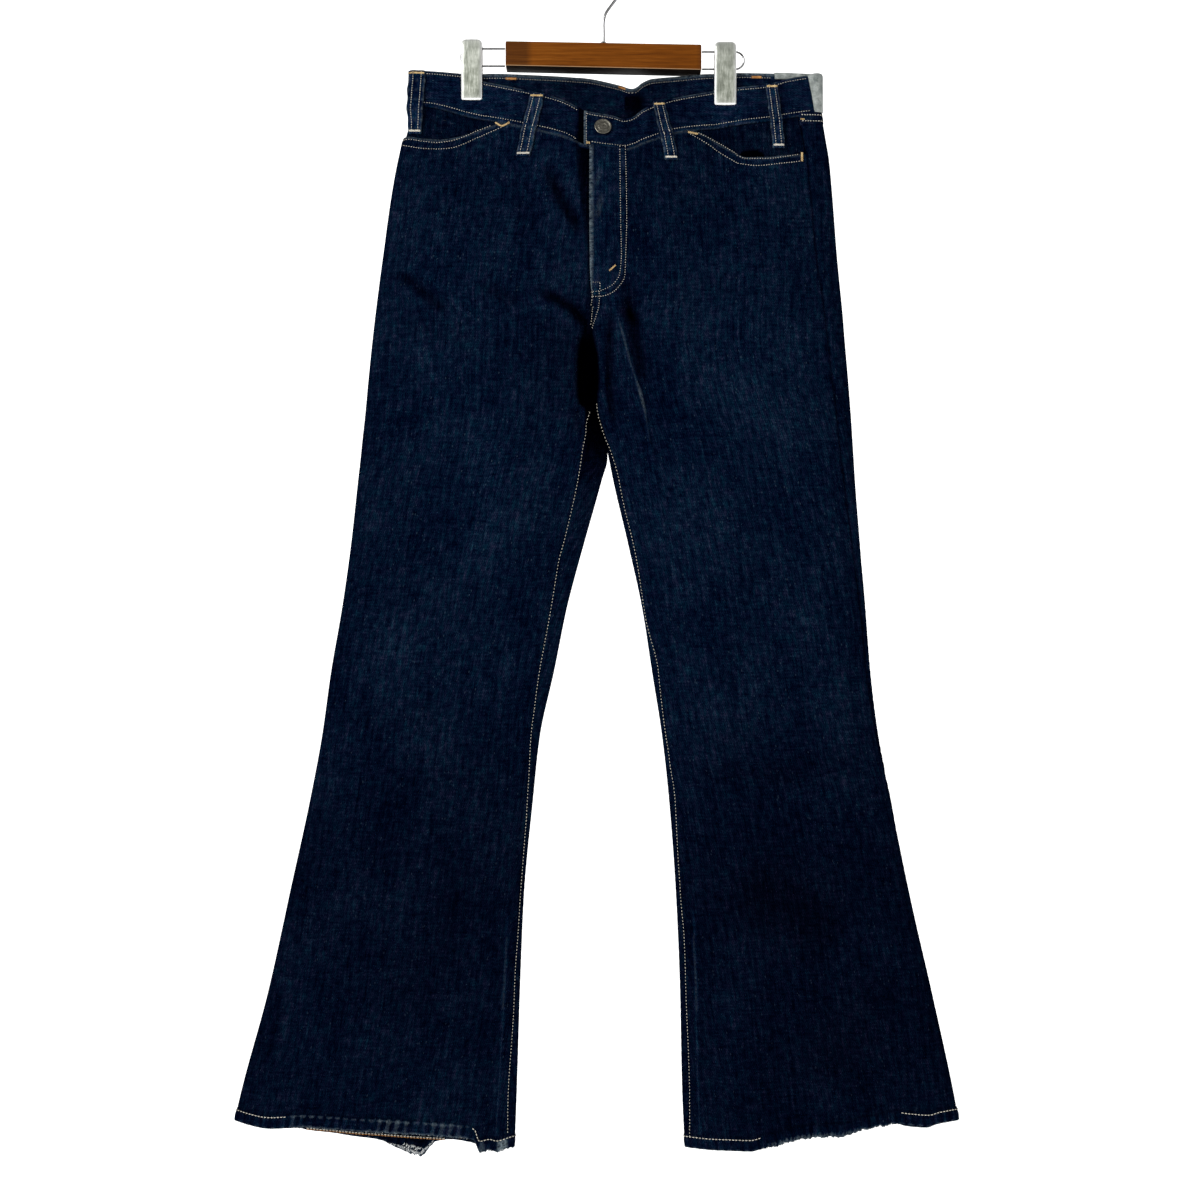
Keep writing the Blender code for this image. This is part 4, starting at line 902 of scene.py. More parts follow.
# ================================================================ tone of the cloth
def fade(face, x, d):
    """Lighter thighs and hips, darker below the knee, darker by the side
    edges and beside the crotch, with painted shade in crease troughs, in the
    hollow between the legs and in the fold beside the fly, and ridges paler
    as wear and as painted highlight; 1 is plain cloth."""
    t = 1.0 - 0.34 * smooth((d - 700) / 220.0)
    t = t + 0.05 * smooth((d - 1040) / 90.0)
    lo, hi = outer["R"](d), outer["L"](d)
    e = np.minimum(x - lo, hi - x)
    t = t * (0.86 + 0.14 * smooth(e / 40.0))
    for cx, cd, rx, rd, gain in (
        (-120.0, 470.0, 80.0, 190.0, 0.10),
        (140.0, 470.0, 80.0, 200.0, 0.14),
        (-160.0, 760.0, 90.0, 110.0, -0.06),
        (160.0, 740.0, 90.0, 100.0, -0.08),
        (190.0, 1110.0, 150.0, 70.0, -0.14),
        (150.0, 930.0, 110.0, 70.0, -0.10),
        (-40.0, 392.0, 46.0, 60.0, -0.30),
        (-150.0, 1120.0, 120.0, 60.0, 0.08),
    ):
        t = t + gain * np.exp(-(((x - cx) / rx) ** 2) - ((d - cd) / rd) ** 2)
    # painted shade along crease troughs; ridges paler as wear and as painted highlight
    t = t + crease_sum(face, x, d, True)
    if face == "front":
        # painted shade in the hollow between the legs and in the fold beside the fly
        vx, vd = in_view(x, d, np.maximum(front_base(x, d), 0))
        t = t * (1 - band_mask(HOLLOW, vx, vd, 3.0, 3.0))
        t = t * (1 - band_mask(FLY_SHADE, vx, vd, 8.0, 1.0))
    return np.clip(t, 0.012, 1.6)


def grain_uv(side, s, d):
    mid = (edge_at(side, 0, d) + edge_at(side, 1, d)) / 2
    off = 1.37 if side == "L" else 0.0
    return np.stack([(s - mid) * MM + off, d * MM, 0 * s], -1)


# ================================================================ panels
def panel_drop(nominal, top, bottom):
    d = nominal + (top - 176.0) * (1 - smooth((nominal - 176.0) / 240.0))
    return d + (bottom - 1160.0) * smooth((nominal - 960.0) / 200.0)


def front_upper(side, x):
    lo, hi = mouth_span[side]
    seam = front_seam(x)
    return np.where((x >= lo) & (x <= hi), np.maximum(seam, mouth[side](x)), seam)


ROWS = np.concatenate([np.linspace(176, 200, 9)[:-1], np.arange(200.0, 1160.0, 4.0), [1160.0]])
FRONT_ROWS = np.concatenate([np.linspace(176, 200, 12)[:-1], np.arange(200.0, 700.0, 2.5), np.arange(700.0, 1160.0, 4.6), [1160.0]])
GAP = 0.12


def panel_columns(side, d, start, end, near, tail, n_mid):
    """Fractions from 0 to 1 for one row: for the close steps by the outer fold,
    the even steps between, and the close steps over the last stretch."""
    first = np.linspace(0, 1, near)
    mid = np.linspace(0, 1, n_mid + 1)[1:]
    last = np.linspace(0, 1, tail + 1)[1:] if tail else np.zeros(0)
    return first, mid, last


def front_grid(side):
    sign = 1
    near = 18 if side == "R" else 6
    n_mid = 122
    d = np.repeat(FRONT_ROWS[:, None], near + n_mid, 1)
    for _ in range(4):
        a = edge_at(side, 0, d) + GAP
        b = edge_at(side, 1, d) - GAP
        under = 9.0 if side == "R" else 0.6
        b = b + under * (1 - smooth((d - 318.0) / 14.0)) * (d < CROTCH)
        knee = np.maximum(14.0, a + 4.0)
        f1 = np.linspace(0, 1, near)[None, :]
        f2 = np.linspace(0, 1, n_mid + 1)[None, 1:]
        s = np.concatenate(
            [
                (a[:, :near] + (knee[:, :near] - a[:, :near]) * f1),
                (knee[:, near:] + (b[:, near:] - knee[:, near:]) * f2),
            ],
            1,
        )
        x, _ = along(side, s, d)
        top = front_upper(side, x) + 0.4
        d = panel_drop(FRONT_ROWS[:, None] + 0 * x, top, hem_front(x) - HEM_HIGH - 0.3)
    return s, d, x


def gape(side, x, d):
    """The pocket mouth's edge stands away from the facing behind it."""
    if side == "R":
        edge, lo, hi, high = mouth["R"](x), -190.0, -112.0, 1.0
    else:
        edge, lo, hi, high = mouth["L"](x), 110.0, 192.0, 2.6
    across = smooth((x - lo) / 20.0) * smooth((hi - x) / 20.0)
    return high * across * np.exp(-np.clip(d - edge, 0, None) / 12.0)


def seam_ridge(s, edge, width=9.0, high=0.55):
    """The allowance folded under along a seam makes a low, even ridge."""
    e = np.abs(s - edge)
    return high * (1 - smooth((e - width) / 2.5))


def pucker(s_across, d, near, wave=7.5, high=0.28):
    """Small puckers along a stitched seam."""
    return high * np.sin(2 * math.pi * d / wave + 0.8 * np.sin(d / 23.0)) * np.exp(-np.abs(s_across) / near)


for side in "RL":
    s, d, x = front_grid(side)
    lift = gape(side, x, d)
    b_edge, a_edge = edge_at(side, 1, d), edge_at(side, 0, d)
    leg = (d > CROTCH).astype(float)
    lift = lift + leg * (seam_ridge(s, b_edge) + pucker(s - b_edge + 5, d, 9.0))
    if side == "L":
        lift = lift + pucker(s - a_edge, d, 8.0, 8.5, 0.3)
    if side == "R":
        # it runs under the lapped fly edge
        lift = lift - 1.5 * smooth((x + 16.0) / 4.0) * (1 - smooth((d - 320.0) / 12.0))
    if side == "L":
        lift = lift + 0.9 * (1 - smooth((x + 11.0) / 30.0)) * (1 - smooth((d - 322.0) / 14.0))
    # rolled upper edge by the pocket mouth
    lift = lift + 0.5 * np.exp(-(((d - front_upper(side, x)) - 5.0) / 5.0) ** 2)
    tone = fade("front", x, d)
    edge_wear = 0.30 * np.exp(-np.clip(d - front_upper(side, x), 0, None) / 1.6)
    seam_wear = leg * 0.10 * np.exp(-((np.abs(s - b_edge) - 10.5) / 1.3) ** 2) * smooth((d - 900) / 120.0)
    tone = np.where(edge_wear + seam_wear > 0.03, np.maximum(tone, WORN) + edge_wear + seam_wear, tone)
    # the dark groove of the outside seam
    tone = tone * (1 - 0.6 * np.exp(-(((s - a_edge) / 1.3) ** 2)))
    P = along3(side, s, d)
    N = normal_at(side, s, d)
    O = P + N * lift[..., None]
    I = P + N * (lift - CLOTH)[..., None]
    obj = shell(f"front_panel_{side}", O, I, DENIM, cloth=grain_uv(side, s, d), tone=tone)
    nodes = [f"front_panel_{side}_{level}" for level in LEVELS]
    finish_piece(obj, "denim", *nodes, flat=(0.300, 1.020), area=0.236 if side == "R" else 0.226)


def yoke_seam(side, x):
    xo = float(outer[side](150.0))
    t = np.clip(np.abs(x - xo) / abs(xo + 11.5), 0, 1)
    return back_seam(x) + YOKE_SIDE + (YOKE_CENTRE - YOKE_SIDE) * t**0.9


def back_limits(side, x, s):
    front = s > 0
    top = np.where(front, front_seam(x), back_seam(x))
    low = np.where(front, front_seam(x) + YOKE_SIDE, yoke_seam(side, x))
    return top, low


def back_grid(side, rows):
    near, n_mid, tail = 26, 58, 26
    d = np.repeat(rows[:, None], near + n_mid + tail, 1)
    for _ in range(4):
        a = -(edge_at(side, 0, d) - GAP)  # lengths towards the back
        b = edge_at(side, 2, d) - GAP
        tb = total_of(side, "back", d)
        k1 = np.maximum(14.0, a + 4.0)
        k2 = np.minimum(tb - 14.0, b - 4.0)
        f1 = np.linspace(0, 1, near)[None, :]
        f2 = np.linspace(0, 1, n_mid + 1)[None, 1:]
        f3 = np.linspace(0, 1, tail + 1)[None, 1:]
        q = np.concatenate(
            [
                a[:, :near] + (k1[:, :near] - a[:, :near]) * f1,
                k1[:, near : near + n_mid] + (k2 - k1)[:, near : near + n_mid] * f2,
                k2[:, near + n_mid :] + (b - k2)[:, near + n_mid :] * f3,
            ],
            1,
        )
        s = -q
        x, y = along(side, s, d)
        yield s, d, x, y, tb
        top = back_limits(side, x, s)[1] + 0.3
        # the hem line passes from the back's to the front's round the inner fold
        share = smooth((q - tb + 3.0) / 6.0) * (d > 500)
        share = np.maximum(share, smooth((3.0 - q) / 6.0))
        low = hem_back(x) * (1 - share) + hem_front(x) * share
        d = panel_drop(rows[:, None] + 0 * x, top, low - HEM_HIGH - 0.3)


for side in "RL":
    for s, d, x, y, tb in back_grid(side, ROWS):
        pass
    a_edge, b_edge = edge_at(side, 0, d), -edge_at(side, 2, d)
    leg = (d > CROTCH).astype(float)
    lift = seam_ridge(s, a_edge, 8.0, 0.45) + pucker(s - a_edge, d, 8.0, 8.5, 0.3)
    lift = lift + leg * pucker(s - b_edge, d, 8.0, 7.5, 0.25)
    lift = lift + (1 - leg) * seam_ridge(s, b_edge, 9.0, 0.5)
    tone = np.where(y < 0, fade("front", x, d), fade("back", x, d))
    rise = smooth(s / 4.0)
    tone = tone * (1 - 0.6 * np.exp(-(((s - a_edge) / 1.3) ** 2)))
    tone = tone + rise * 0.16 * np.exp(-(((s - a_edge + 3.2) / 1.6) ** 2))
    P, N = along3(side, s, d), normal_at(side, s, d)
    O, I = P + N * lift[..., None], P + N * (lift - CLOTH)[..., None]
    obj = shell(f"back_panel_{side}", O, I, DENIM, cloth=grain_uv(side, s, d) + np.array([0.7, 0, 0]), tone=tone)
    nodes = [f"back_panel_{side}_{level}" for level in LEVELS]
    finish_piece(obj, "denim", *nodes, flat=(0.330, 1.020), area=0.253 if side == "L" else 0.228)
    # yoke
    near, n_mid = 30, 58
    rows = 14
    v = np.linspace(0, 1, rows)[:, None]
    d = np.full((rows, near + n_mid), 165.0)
    for _ in range(6):
        a = -(edge_at(side, 0, d) - GAP)
        b = edge_at(side, 2, d) - GAP
        k1 = np.maximum(16.0, a + 4.0)
        f1, f2 = np.linspace(0, 1, near)[None, :], np.linspace(0, 1, n_mid + 1)[None, 1:]
        q = np.concatenate(
            [a[:, :near] + (k1 - a)[:, :near] * f1, k1[:, near:] + (b - k1)[:, near:] * f2], 1
        )
        s = -q
        x, y = along(side, s, d)
        top, low = back_limits(side, x, s)
        d = top + 0.3 + (low - top - 0.3) * v
    lift = 0.35 + 0.45 * np.exp(-(((low - d) - 4.5) / 4.0) ** 2) + seam_ridge(s, -b, 9.0, 0.4)
    P, N = along3(side, s, d), normal_at(side, s, d)
    O, I = P + N * lift[..., None], P + N * (lift - CLOTH)[..., None]
    uv = grain_uv(side, s, d) + np.array([2.3, 0.4, 0])
    obj = shell(f"yoke_{side}", O, I, DENIM, cloth=uv, tone=fade("back", x, d))
    finish_piece(obj, "denim", f"yoke_{side}", flat=(0.205 if side == "R" else 0.245, 0.064), area=0.0066 if side == "R" else 0.0088)


# ================================================================ waistband
def band_rows(n=17):
    return np.linspace(0, 1, n)


def band_profile(t):
    """The band's own relief: soft between its two stitch rows, turned edges."""
    return 0.35 * np.exp(-(((t - 0.5) / 0.3) ** 2)) - 0.5 * np.exp(-((t / 0.035) ** 2)) - 0.3 * np.exp(-(((1 - t) / 0.03) ** 2))


def band_face(face, xs, tuck=None):
    t = band_rows()[:, None]
    x = np.asarray(xs, float)[None, :] + 0 * t
    top, seam = (front_top(x), front_seam(x)) if face == "front" else (back_top(x), back_seam(x))
    d = top + (seam - top) * t
    wob = 0.35 * np.sin(x / 9.0 + 1.3 * np.sin(x / 31.0)) * (0.3 + 0.7 * t)
    out = BAND_PROUD + band_profile(t) + wob - (0 if tuck is None else np.asarray(tuck)[None, :])
    return on_face(face, x, d, out), on_face(face, x, d, out - BAND_WALL + 0.2), x, d


def band_fold(side, turns):
    t = band_rows()[:, None]
    xo = float(outer[side](128.0))
    sign = 1 if side == "R" else -1
    c = xo + sign * FOLD_RADIUS
    turn = np.asarray(turns)[None, :]
    ft, fs = float(front_top(c)), float(front_seam(c))
    bt, bs = float(back_top(c)), float(back_seam(c))
    fd, bd = ft + (fs - ft) * t, bt + (bs - bt) * t
    fy, by = front_out(np.full_like(fd, c), fd), back_out(np.full_like(bd, c), bd)
    mid, half = (by - fy) / 2, (by + fy) / 2
    share = turn / math.pi
    d = fd + (bd - fd) * share
    grids = []
    for out in (BAND_PROUD + band_profile(t), BAND_PROUD + band_profile(t) - BAND_WALL + 0.2):
        gx = c - sign * (FOLD_RADIUS + out) * np.sin(turn)
        gy = mid - (half + out) * np.cos(turn)
        grids.append(np.stack([gx, gy + 0 * gx, -d + 0 * gx], -1))
    return grids[0], grids[1], grids[0][..., 0], d + 0 * grids[0][..., 0]


def waistband():
    fold_r = float(outer["R"](128.0)) + FOLD_RADIUS
    fold_l = float(outer["L"](128.0)) - FOLD_RADIUS
    lap = BAND_WALL + 0.3
    xs0 = np.arange(UNDER_TO, -46.0, -3.0)
    tuck = lap * (1 - smooth((-xs0 - 20.0) / 20.0))
    parts = [band_face("front", xs0, tuck)]
    parts.append(band_face("front", np.linspace(-48.0, fold_r, 56)))
    parts.append(band_fold("R", np.linspace(0, math.pi, 18)[1:-1]))
    parts.append(band_face("back", np.linspace(fold_r, fold_l, 150)))
    parts.append(band_fold("L", np.linspace(math.pi, 0, 18)[1:-1]))
    parts.append(band_face("front", np.linspace(fold_l, LAP_TO, 84)))
    O = np.concatenate([p[0] for p in parts], 1)
    I = np.concatenate([p[1] for p in parts], 1)
    x = np.concatenate([p[2] for p in parts], 1)
    d = np.concatenate([p[3] for p in parts], 1)
    mids = O[O.shape[0] // 2]
    run = np.concatenate([[0], np.cumsum(np.linalg.norm(np.diff(mids, axis=0), axis=1))])
    # the band is cut with the grain along it
    uv = np.stack([d * MM + 3.1, run[None, :] * MM + 0 * d, 0 * d], -1)
    t = band_rows()[:, None] + 0 * d
    tone = 0.95 + 0.10 * np.sin(run[None, :] / 23.0 + 1.5 * np.sin(run[None, :] / 61.0)) + 0 * d
    start_of_back = sum(p[0].shape[1] for p in parts[:3])
    end_of_back = start_of_back + parts[3][0].shape[1]
    at_col = np.arange(d.shape[1])[None, :] + 0 * d
    behind = (at_col >= start_of_back) & (at_col < end_of_back)
    wear = (0.30 + 0.55 * behind) * np.exp(-t / (0.025 + 0.012 * behind)) + 0.08 * np.exp(-(1 - t) / 0.03)
    tone = np.where(wear > 0.03, WORN + wear, tone)
    # painted shade in the fold beside the lapped end, and the end's own pale edge
    left_part = at_col < start_of_back - parts[2][0].shape[1]
    tone = np.where(left_part, tone * (1 - 0.93 * smooth((x + 27.5) / 3.0)), tone)
    last = run[-1] - run[None, :] + 0 * d
    tone = np.where(last < 1.4, WORN + 0.55 * np.exp(-last / 0.9), tone)
    # painted shade beside each belt loop in front
    for lx in (-186.0, -66.0, 56.0, 168.0):
        tone = np.where(~behind, tone * (1 - 0.35 * np.exp(-((np.abs(x - lx) - 9.0) / 4.0) ** 2)), tone)
    # painted shade of a soft fold down from the dip, in front
    tone = np.where(~behind, tone * (1 - 0.38 * np.exp(-(((x - 24.0) / 4.5) ** 2)) * (x > 0)), tone)
    # painted shade of the fold under the dip, on the inside of the back
    dip = smooth((x - 20.0) / 2.6) * (1 - smooth((x - 34.0) / 12.0)) * smooth((d - 125.5) / 3.0)
    dip = dip * (1 - 0.45 * smooth((d - 134.0) / 16.0))
    dip = np.maximum(dip, 0.35 * smooth((x + 6.0) / 20.0) * (1 - smooth((x - 36.0) / 14.0)) * smooth((d - 138.0) / 8.0))
    inside = np.where(behind, tone * (1 - 0.90 * dip), tone)
    obj = shell("waistband", O, I, DENIM_BAND, cloth=uv, tone=tone, inner_tone=inside)
    finish_piece(obj, "denim_band", "waistband", flat=(0.905, 0.038), rests="clip_front_R")
    return O, I


BAND_O, BAND_I = waistband()


# ================================================================ pocket facings, fly, back pockets
for side in "RL":
    rows, cols = 22, 60
    v = np.linspace(0, 1, rows)[:, None]
    u = np.linspace(0, 1, cols)[None, :]
    d = np.full((rows, cols), 165.0)
    for _ in range(6):
        a = edge_at(side, 0, d) + 0.3
        end = length_to(side, "front", d[:, :1], np.full((rows, 1), -103.0 if side == "R" else 89.0))
        s = a + (end - a) * u**1.15
        x, y = along(side, s, d)
        top, low = front_seam(x) + 0.3, front_upper(side, x) + 13.0
        d = top + (low - top) * v
    lift = -CLOTH - 0.7 + 0 * s
    if side == "R":
        lift = lift + 0.8 * np.sin(x / 7.0 + d / 11.0) * smooth((d - top) / 12.0)
    else:
        lift = lift - 2.0 * np.exp(-(((x - 150) / 22.0) ** 2)) * smooth((d - top) / 14.0)
    vx, vd = in_view(x, d, np.maximum(front_base(x, d), 0))
    if side == "R":
        # painted highlights and painted shade along small folds of the facing
        fold_painted_shading = 0.0
        for (fx0, fd0), (fx1, fd1), gain in (
            ((-171, 150.5), (-147, 161), 0.55), ((-166, 157), (-150, 167), 0.35), ((-184, 149), (-160, 163), -0.4),
        ):
            off, place = line_field([(fx0, fd0), (fx1, fd1)], vx, vd)
            fold_painted_shading = fold_painted_shading + gain * np.exp(-((off / 1.2) ** 2)) * smooth(place / 0.2) * smooth((1.1 - place) / 0.2)
        facing_tone = 0.9 + fold_painted_shading
    else:
        # the open mouth: painted shade in a pointed oval over the facing, and a painted highlight along a fold
        gap_edge = np.clip(1 - ((vx - 148.0) / 14.0) ** 2, 0, 1)
        mouth_painted_shade = smooth((vd - (188.5 - 5.2 * gap_edge)) / 1.5) * (gap_edge > 0)
        off, place = line_field([(143.0, 180.6), (161.0, 181.4)], vx, vd)
        facing_tone = 0.85 * (1 - 0.95 * mouth_painted_shade) + 0.5 * np.exp(-((off / 0.9) ** 2)) * smooth(place / 0.2) * smooth((1.1 - place) / 0.2)
    facing_tone = np.clip(facing_tone, 0.03, 1.9)
    O, I = on_side(side, s, d, lift), on_side(side, s, d, lift - 1.2)
    obj = shell(f"pocket_facing_{side}", O, I, DENIM_POCKET, cloth=grain_uv(side, s, d) + np.array([4.2, 0.2, 0]), tone=facing_tone)
    finish_piece(obj, "denim_pocket", f"pocket_facing_{side}", flat=(0.118, 0.058), area=0.0040 if side == "R" else 0.0046)

rows, cols = 60, 22
u, v = np.linspace(0, 1, cols)[None, :], np.linspace(0, 1, rows)[:, None]
x = FLY_EDGE - 0.6 + (FLY_RIGHT + 1.5 - FLY_EDGE) * u + 0 * v
top = front_seam(x) + 0.5
d = top + (fly_bottom(x) - top) * v
J_dist = np.minimum((FLY_RIGHT + 0.9 - x), (fly_bottom(x) - d) * 0.8)
lift = 0.15 + 1.5 * smooth(J_dist / 3.5) + 0.25 * np.sin(d / 5.5) * np.exp(-np.abs(J_dist - 3) / 3.0)
crown = 0.9 * (1 - smooth((x + 11.0) / 30.0)) * (1 - smooth((d - 322.0) / 14.0))
O = on_face("front", x, d, lift + crown)
I = on_face("front", x, d, lift + crown - 1.5)
edge = np.exp(-(x - FLY_EDGE + 0.6) / 0.9) * 0.75
strip = np.exp(-(((x + 4.5) / 6.5) ** 2))
tone = 1.17 + 0.12 * strip + 0.07 * np.sin(d / 17.0) * strip + 0.06 * np.sin(d / 5.3 + x / 3.0) * strip
tone = tone - 0.25 * np.exp(-(((x - 12.0) / 3.5) ** 2)) + 0.12 * np.exp(-(((x - 19.0) / 2.0) ** 2))
tone = np.where(edge > 0.03, WORN + edge, tone)
uv = np.stack([(x + 0.0) * MM + 1.37, d * MM, 0 * x], -1)
obj = shell("fly_lap", O, I, DENIM, cloth=uv, tone=tone)
finish_piece(obj, "denim", "fly_lap", flat=(0.036, 0.150), area=0.0048)


def back_pocket_grid(side, rows=60, cols=60):
    middle = (float(outer[side](230.0)) + float(inner[side](230.0))) / 2 + (6 if side == "R" else -6)
    u, v = np.linspace(0, 1, cols)[None, :], np.linspace(0, 1, rows)[:, None]
    wide = POCKET_TOP_WIDE + (POCKET_LOW_WIDE - POCKET_TOP_WIDE) * v
    x = middle + (u - 0.5) * wide
    top = yoke_seam(side, np.float64(middle)) + 22.0 + (x - middle) * (0.06 if side == "R" else -0.06)
    low = top + POCKET_HIGH + POCKET_POINT * (1 - np.abs(2 * u - 1))
    return x, top + (low - top) * v, u + 0 * v, v + 0 * u


for side in "RL":
    x, d, u, v = back_pocket_grid(side)
    edge = np.minimum.reduce([u, 1 - u, (1 - v) * 1.1]) * 150.0
    lift = 1.5 + 0.5 * smooth((8.0 - v * 150) / 4.0) + 0.25 * np.exp(-(((edge - 4.0) / 3.0) ** 2))
    lift = lift + 0.9 * np.exp(-(((u - 0.5) / 0.3) ** 2)) * smooth((0.5 - v) / 0.5)
    O, I = on_face("back", x, d, lift), on_face("back", x, d, lift - 1.3)
    wear = 0.25 * np.exp(-edge / 1.2) + 0.2 * np.exp(-v * 150 / 1.4)
    tone = np.where(wear > 0.04, WORN + wear, fade("back", x, d) * 0.98)
    uv = np.stack([x * MM + 5.5, d * MM + 0.3, 0 * x], -1)
    obj = shell(f"back_pocket_{side}", O, I, DENIM_POCKET, cloth=uv, tone=tone)
    finish_piece(obj, "denim_pocket", f"back_pocket_{side}", flat=(0.152, 0.172), area=0.0233, rests=f"back_panel_{side}")


# ================================================================ hems
def hem_grid(side, rows=12):
    tf, tb = 0.0, 0.0
    fr = np.concatenate([np.linspace(0, 14, 16)[:-1] / 300.0, np.linspace(14 / 300.0, 1 - 14 / 300.0, 216), 1 - np.linspace(14, 0, 16)[1:] / 300.0])
    v = np.linspace(0, 1, rows)[:, None]
    fu = np.concatenate([fr[:-1], 1 + fr[:-1]])[None, :]
    d = np.full((rows, fu.shape[1]), 1172.0)
    for _ in range(6):
        tf, tb = total_of(side, "front", d), total_of(side, "back", d)
        q = np.where(fu < 1, fu * tf, 0)
        s = np.where(fu < 1, fu * tf, -(tb * (2 - fu)))
        x, y = along(side, s, d)
        front = smooth((s + 3) / 6.0)
        inner_e = np.where(fu < 1, tf - s, tb + s)
        near = np.exp(-((inner_e / 4.0) ** 2))
        share = np.where(fu < 1, 1.0, 0.0)
        share = share * (1 - 0.5 * near) + (1 - share) * 0.5 * near
        outer_e = np.abs(s)
        near_o = np.exp(-((outer_e / 4.0) ** 2)) * (outer_e < 20)
        share = share * (1 - near_o) + 0.5 * near_o
        low = hem_front(x) * share + hem_back(x) * (1 - share)
        d = low - HEM_HIGH * (1 - v)
    # the torn stretches end unevenly
    if side == "R":
        torn = 1.6 * np.exp(-(((x + 185.0) / 13.0) ** 2)) * (fu > 1) + 0.8 * smooth((x + 128.0) / 3.0) * (fu < 1)
        torn = torn + 0.5 * smooth((x + 312.0) / 12.0) * smooth((-128.0 - x) / 8.0) * (fu < 1)
    else:
        torn = 0.9 * smooth((x - 150.0) / 14.0) * smooth((300.0 - x) / 14.0) * (fu < 1)
    ragged = np.sin(x * 2.3 + 1.1 * np.sin(x * 0.9)) * 0.5 + np.sin(x * 1.13 + 2.0) * 0.5 + np.sin(x * 0.41) * 0.6
    d = d + torn * ragged * smooth((v - 0.2) / 0.8)
    return s, d, x, v + 0 * s, fu + 0 * v


ROLLED = {"R": (-318.0, -128.0), "L": (165.0, 298.0)}
for side in "RL":
    s, d, x, v, fu = hem_grid(side)
    lo, hi = ROLLED[side]
    rolled = smooth((x - lo) / 14.0) * smooth((hi - x) / 14.0) * (fu < 1)
    rope = 0.35 * np.sin(2 * math.pi * s / 9.0 + v * 2.4 + np.sin(s / 37.0))
    lift = 0.25 + 0.45 * np.exp(-(((v - 0.55) / 0.3) ** 2)) + rope * smooth(v / 0.5) * 0.7
    # where the worn edge has rolled up, it stands out as a lumpy cord
    lift = lift + rolled * (1.9 * np.sin(math.pi * np.clip(v, 0, 1)) ** 0.8 + 0.8 * np.sin(2 * math.pi * s / 8.8 + 1.1) * np.sqrt(v))
    O, I = on_side(side, s, d, lift), on_side(side, s, d, lift - 2.6)
    tone = fade("front", x, d) * 1.05
    blocks = 0.5 + 0.5 * np.sin(2 * math.pi * s / 8.8 + 1.1 + 0.7 * np.sin(s / 19.0))
    blocks = smooth(blocks * 1.2)
    strong = 1.0 if side == "R" else 0.08
    tone = tone * (0.72 + 0.62 * blocks * smooth(v / 0.3))
    wear = 0.25 * np.exp(-(1 - v) / 0.06) * blocks
    uneven = 0.5 + 0.5 * np.sin(x / 13.0 + 1.7 * np.sin(x / 29.0))
    wear = wear + strong * rolled * (0.20 + 0.30 * uneven) * np.exp(-(((v - 0.14) / 0.10) ** 2)) * (0.2 + 0.8 * blocks)
    wear = wear + strong * rolled * 0.13 * uneven * blocks * smooth(v / 0.2)
    wear = wear + rolled * 0.22 * np.exp(-(1 - v) / 0.08)
    if side == "R":
        wear = wear + 0.95 * np.exp(-(((x + 101.0) / 4.6) ** 4)) * smooth((v - 0.15) / 0.2) * (fu < 1)
        wear = wear + 0.35 * np.exp(-(((x + 121.0) / 3.0) ** 2)) * v * (fu < 1)
        wear = wear + 0.55 * np.exp(-(((x + 186.0) / 15.0) ** 2)) * smooth((v - 0.5) / 0.4) * (fu > 1) * (0.5 + 0.5 * np.sin(x * 1.9))
    else:
        speck = 0.5 + 0.5 * np.sin(x * 1.7 + 1.3 * np.sin(x * 0.6))
        wear = wear + 0.34 * speck * smooth((x - 158.0) / 14.0) * smooth((262.0 - x) / 20.0) * smooth((v - 0.55) / 0.3) * (fu < 1)
    tone = np.where(wear > 0.05, WORN + wear, tone)
    # painted shade: the back half of the hem is made darker where it is not worn
    tone = np.where((fu >= 1) & (tone < WORN), tone * 0.8, tone)
    obj = shell(f"hem_{side}", O, I, DENIM_HEM, closed=True, cloth=grain_uv(side, s, d), tone=tone)
    finish_piece(obj, "denim_hem", f"hem_{side}", flat=(0.560, 0.014), rests=f"front_panel_{side}")


# ================================================================ belt loops and patch
def loop_grid(spec, rows=40, cols=12):
    name, face, tx0, tx1, td, lx0, lx1, ld = spec
    corners = [(tx0, td), (tx1, td), (lx0, ld), (lx1, ld)]
    if face == "front":
        corners = [tuple(float(c) for c in seen(*c)) for c in corners]
    (ax, ad), (bx, bd), (cx, cd), (dx, dd) = corners
    u, v = np.linspace(0, 1, cols)[None, :], np.linspace(0, 1, rows)[:, None]
    x = (ax + (bx - ax) * u) * (1 - v) + (cx + (dx - cx) * u) * v
    d = (ad + (bd - ad) * u) * (1 - v) + (cd + (dd - cd) * u) * v
    x = x + 0.35 * np.sin(v * 21.0 + 7 * tx0) * (np.abs(u - 0.5) * 2) ** 3
    return face, x, d, u + 0 * v, v + 0 * u


def loop_lift(u, v):
    bow = 1.6 * np.sin(math.pi * v)
    ridge = 0.45 * np.exp(-(((u - 0.22) / 0.14) ** 2)) + 0.45 * np.exp(-(((u - 0.78) / 0.14) ** 2))
    return BAND_PROUD + 0.3 + 1.6 + bow + ridge - 0.35 * (2 * np.abs(u - 0.5)) ** 4


LOOP_GRIDS = {}
for spec in LOOPS:
    face, x, d, u, v = loop_grid(spec)
    lift = loop_lift(u, v)
    O, I = on_face(face, x, d, lift), on_face(face, x, d, lift - 1.9)
    wear = 0.40 * np.exp(-np.minimum(u, 1 - u) / 0.06) + 0.2 * np.exp(-(((u - 0.5) / 0.12) ** 2)) * 0.5
    tone = 1.0 + (wear + 0.3) * (0.8 + 0.2 * np.sin(v * 40 + x[0, 0]))
    uv = np.stack([x * MM + 6.6, d * MM, 0 * x], -1)
    obj = shell(spec[0], O, I, DENIM_LOOP, cloth=uv, tone=tone)
    finish_piece(obj, "denim_loop", spec[0], flat=(0.013, 0.063))
    LOOP_GRIDS[spec[0]] = (face, x, d, lift)


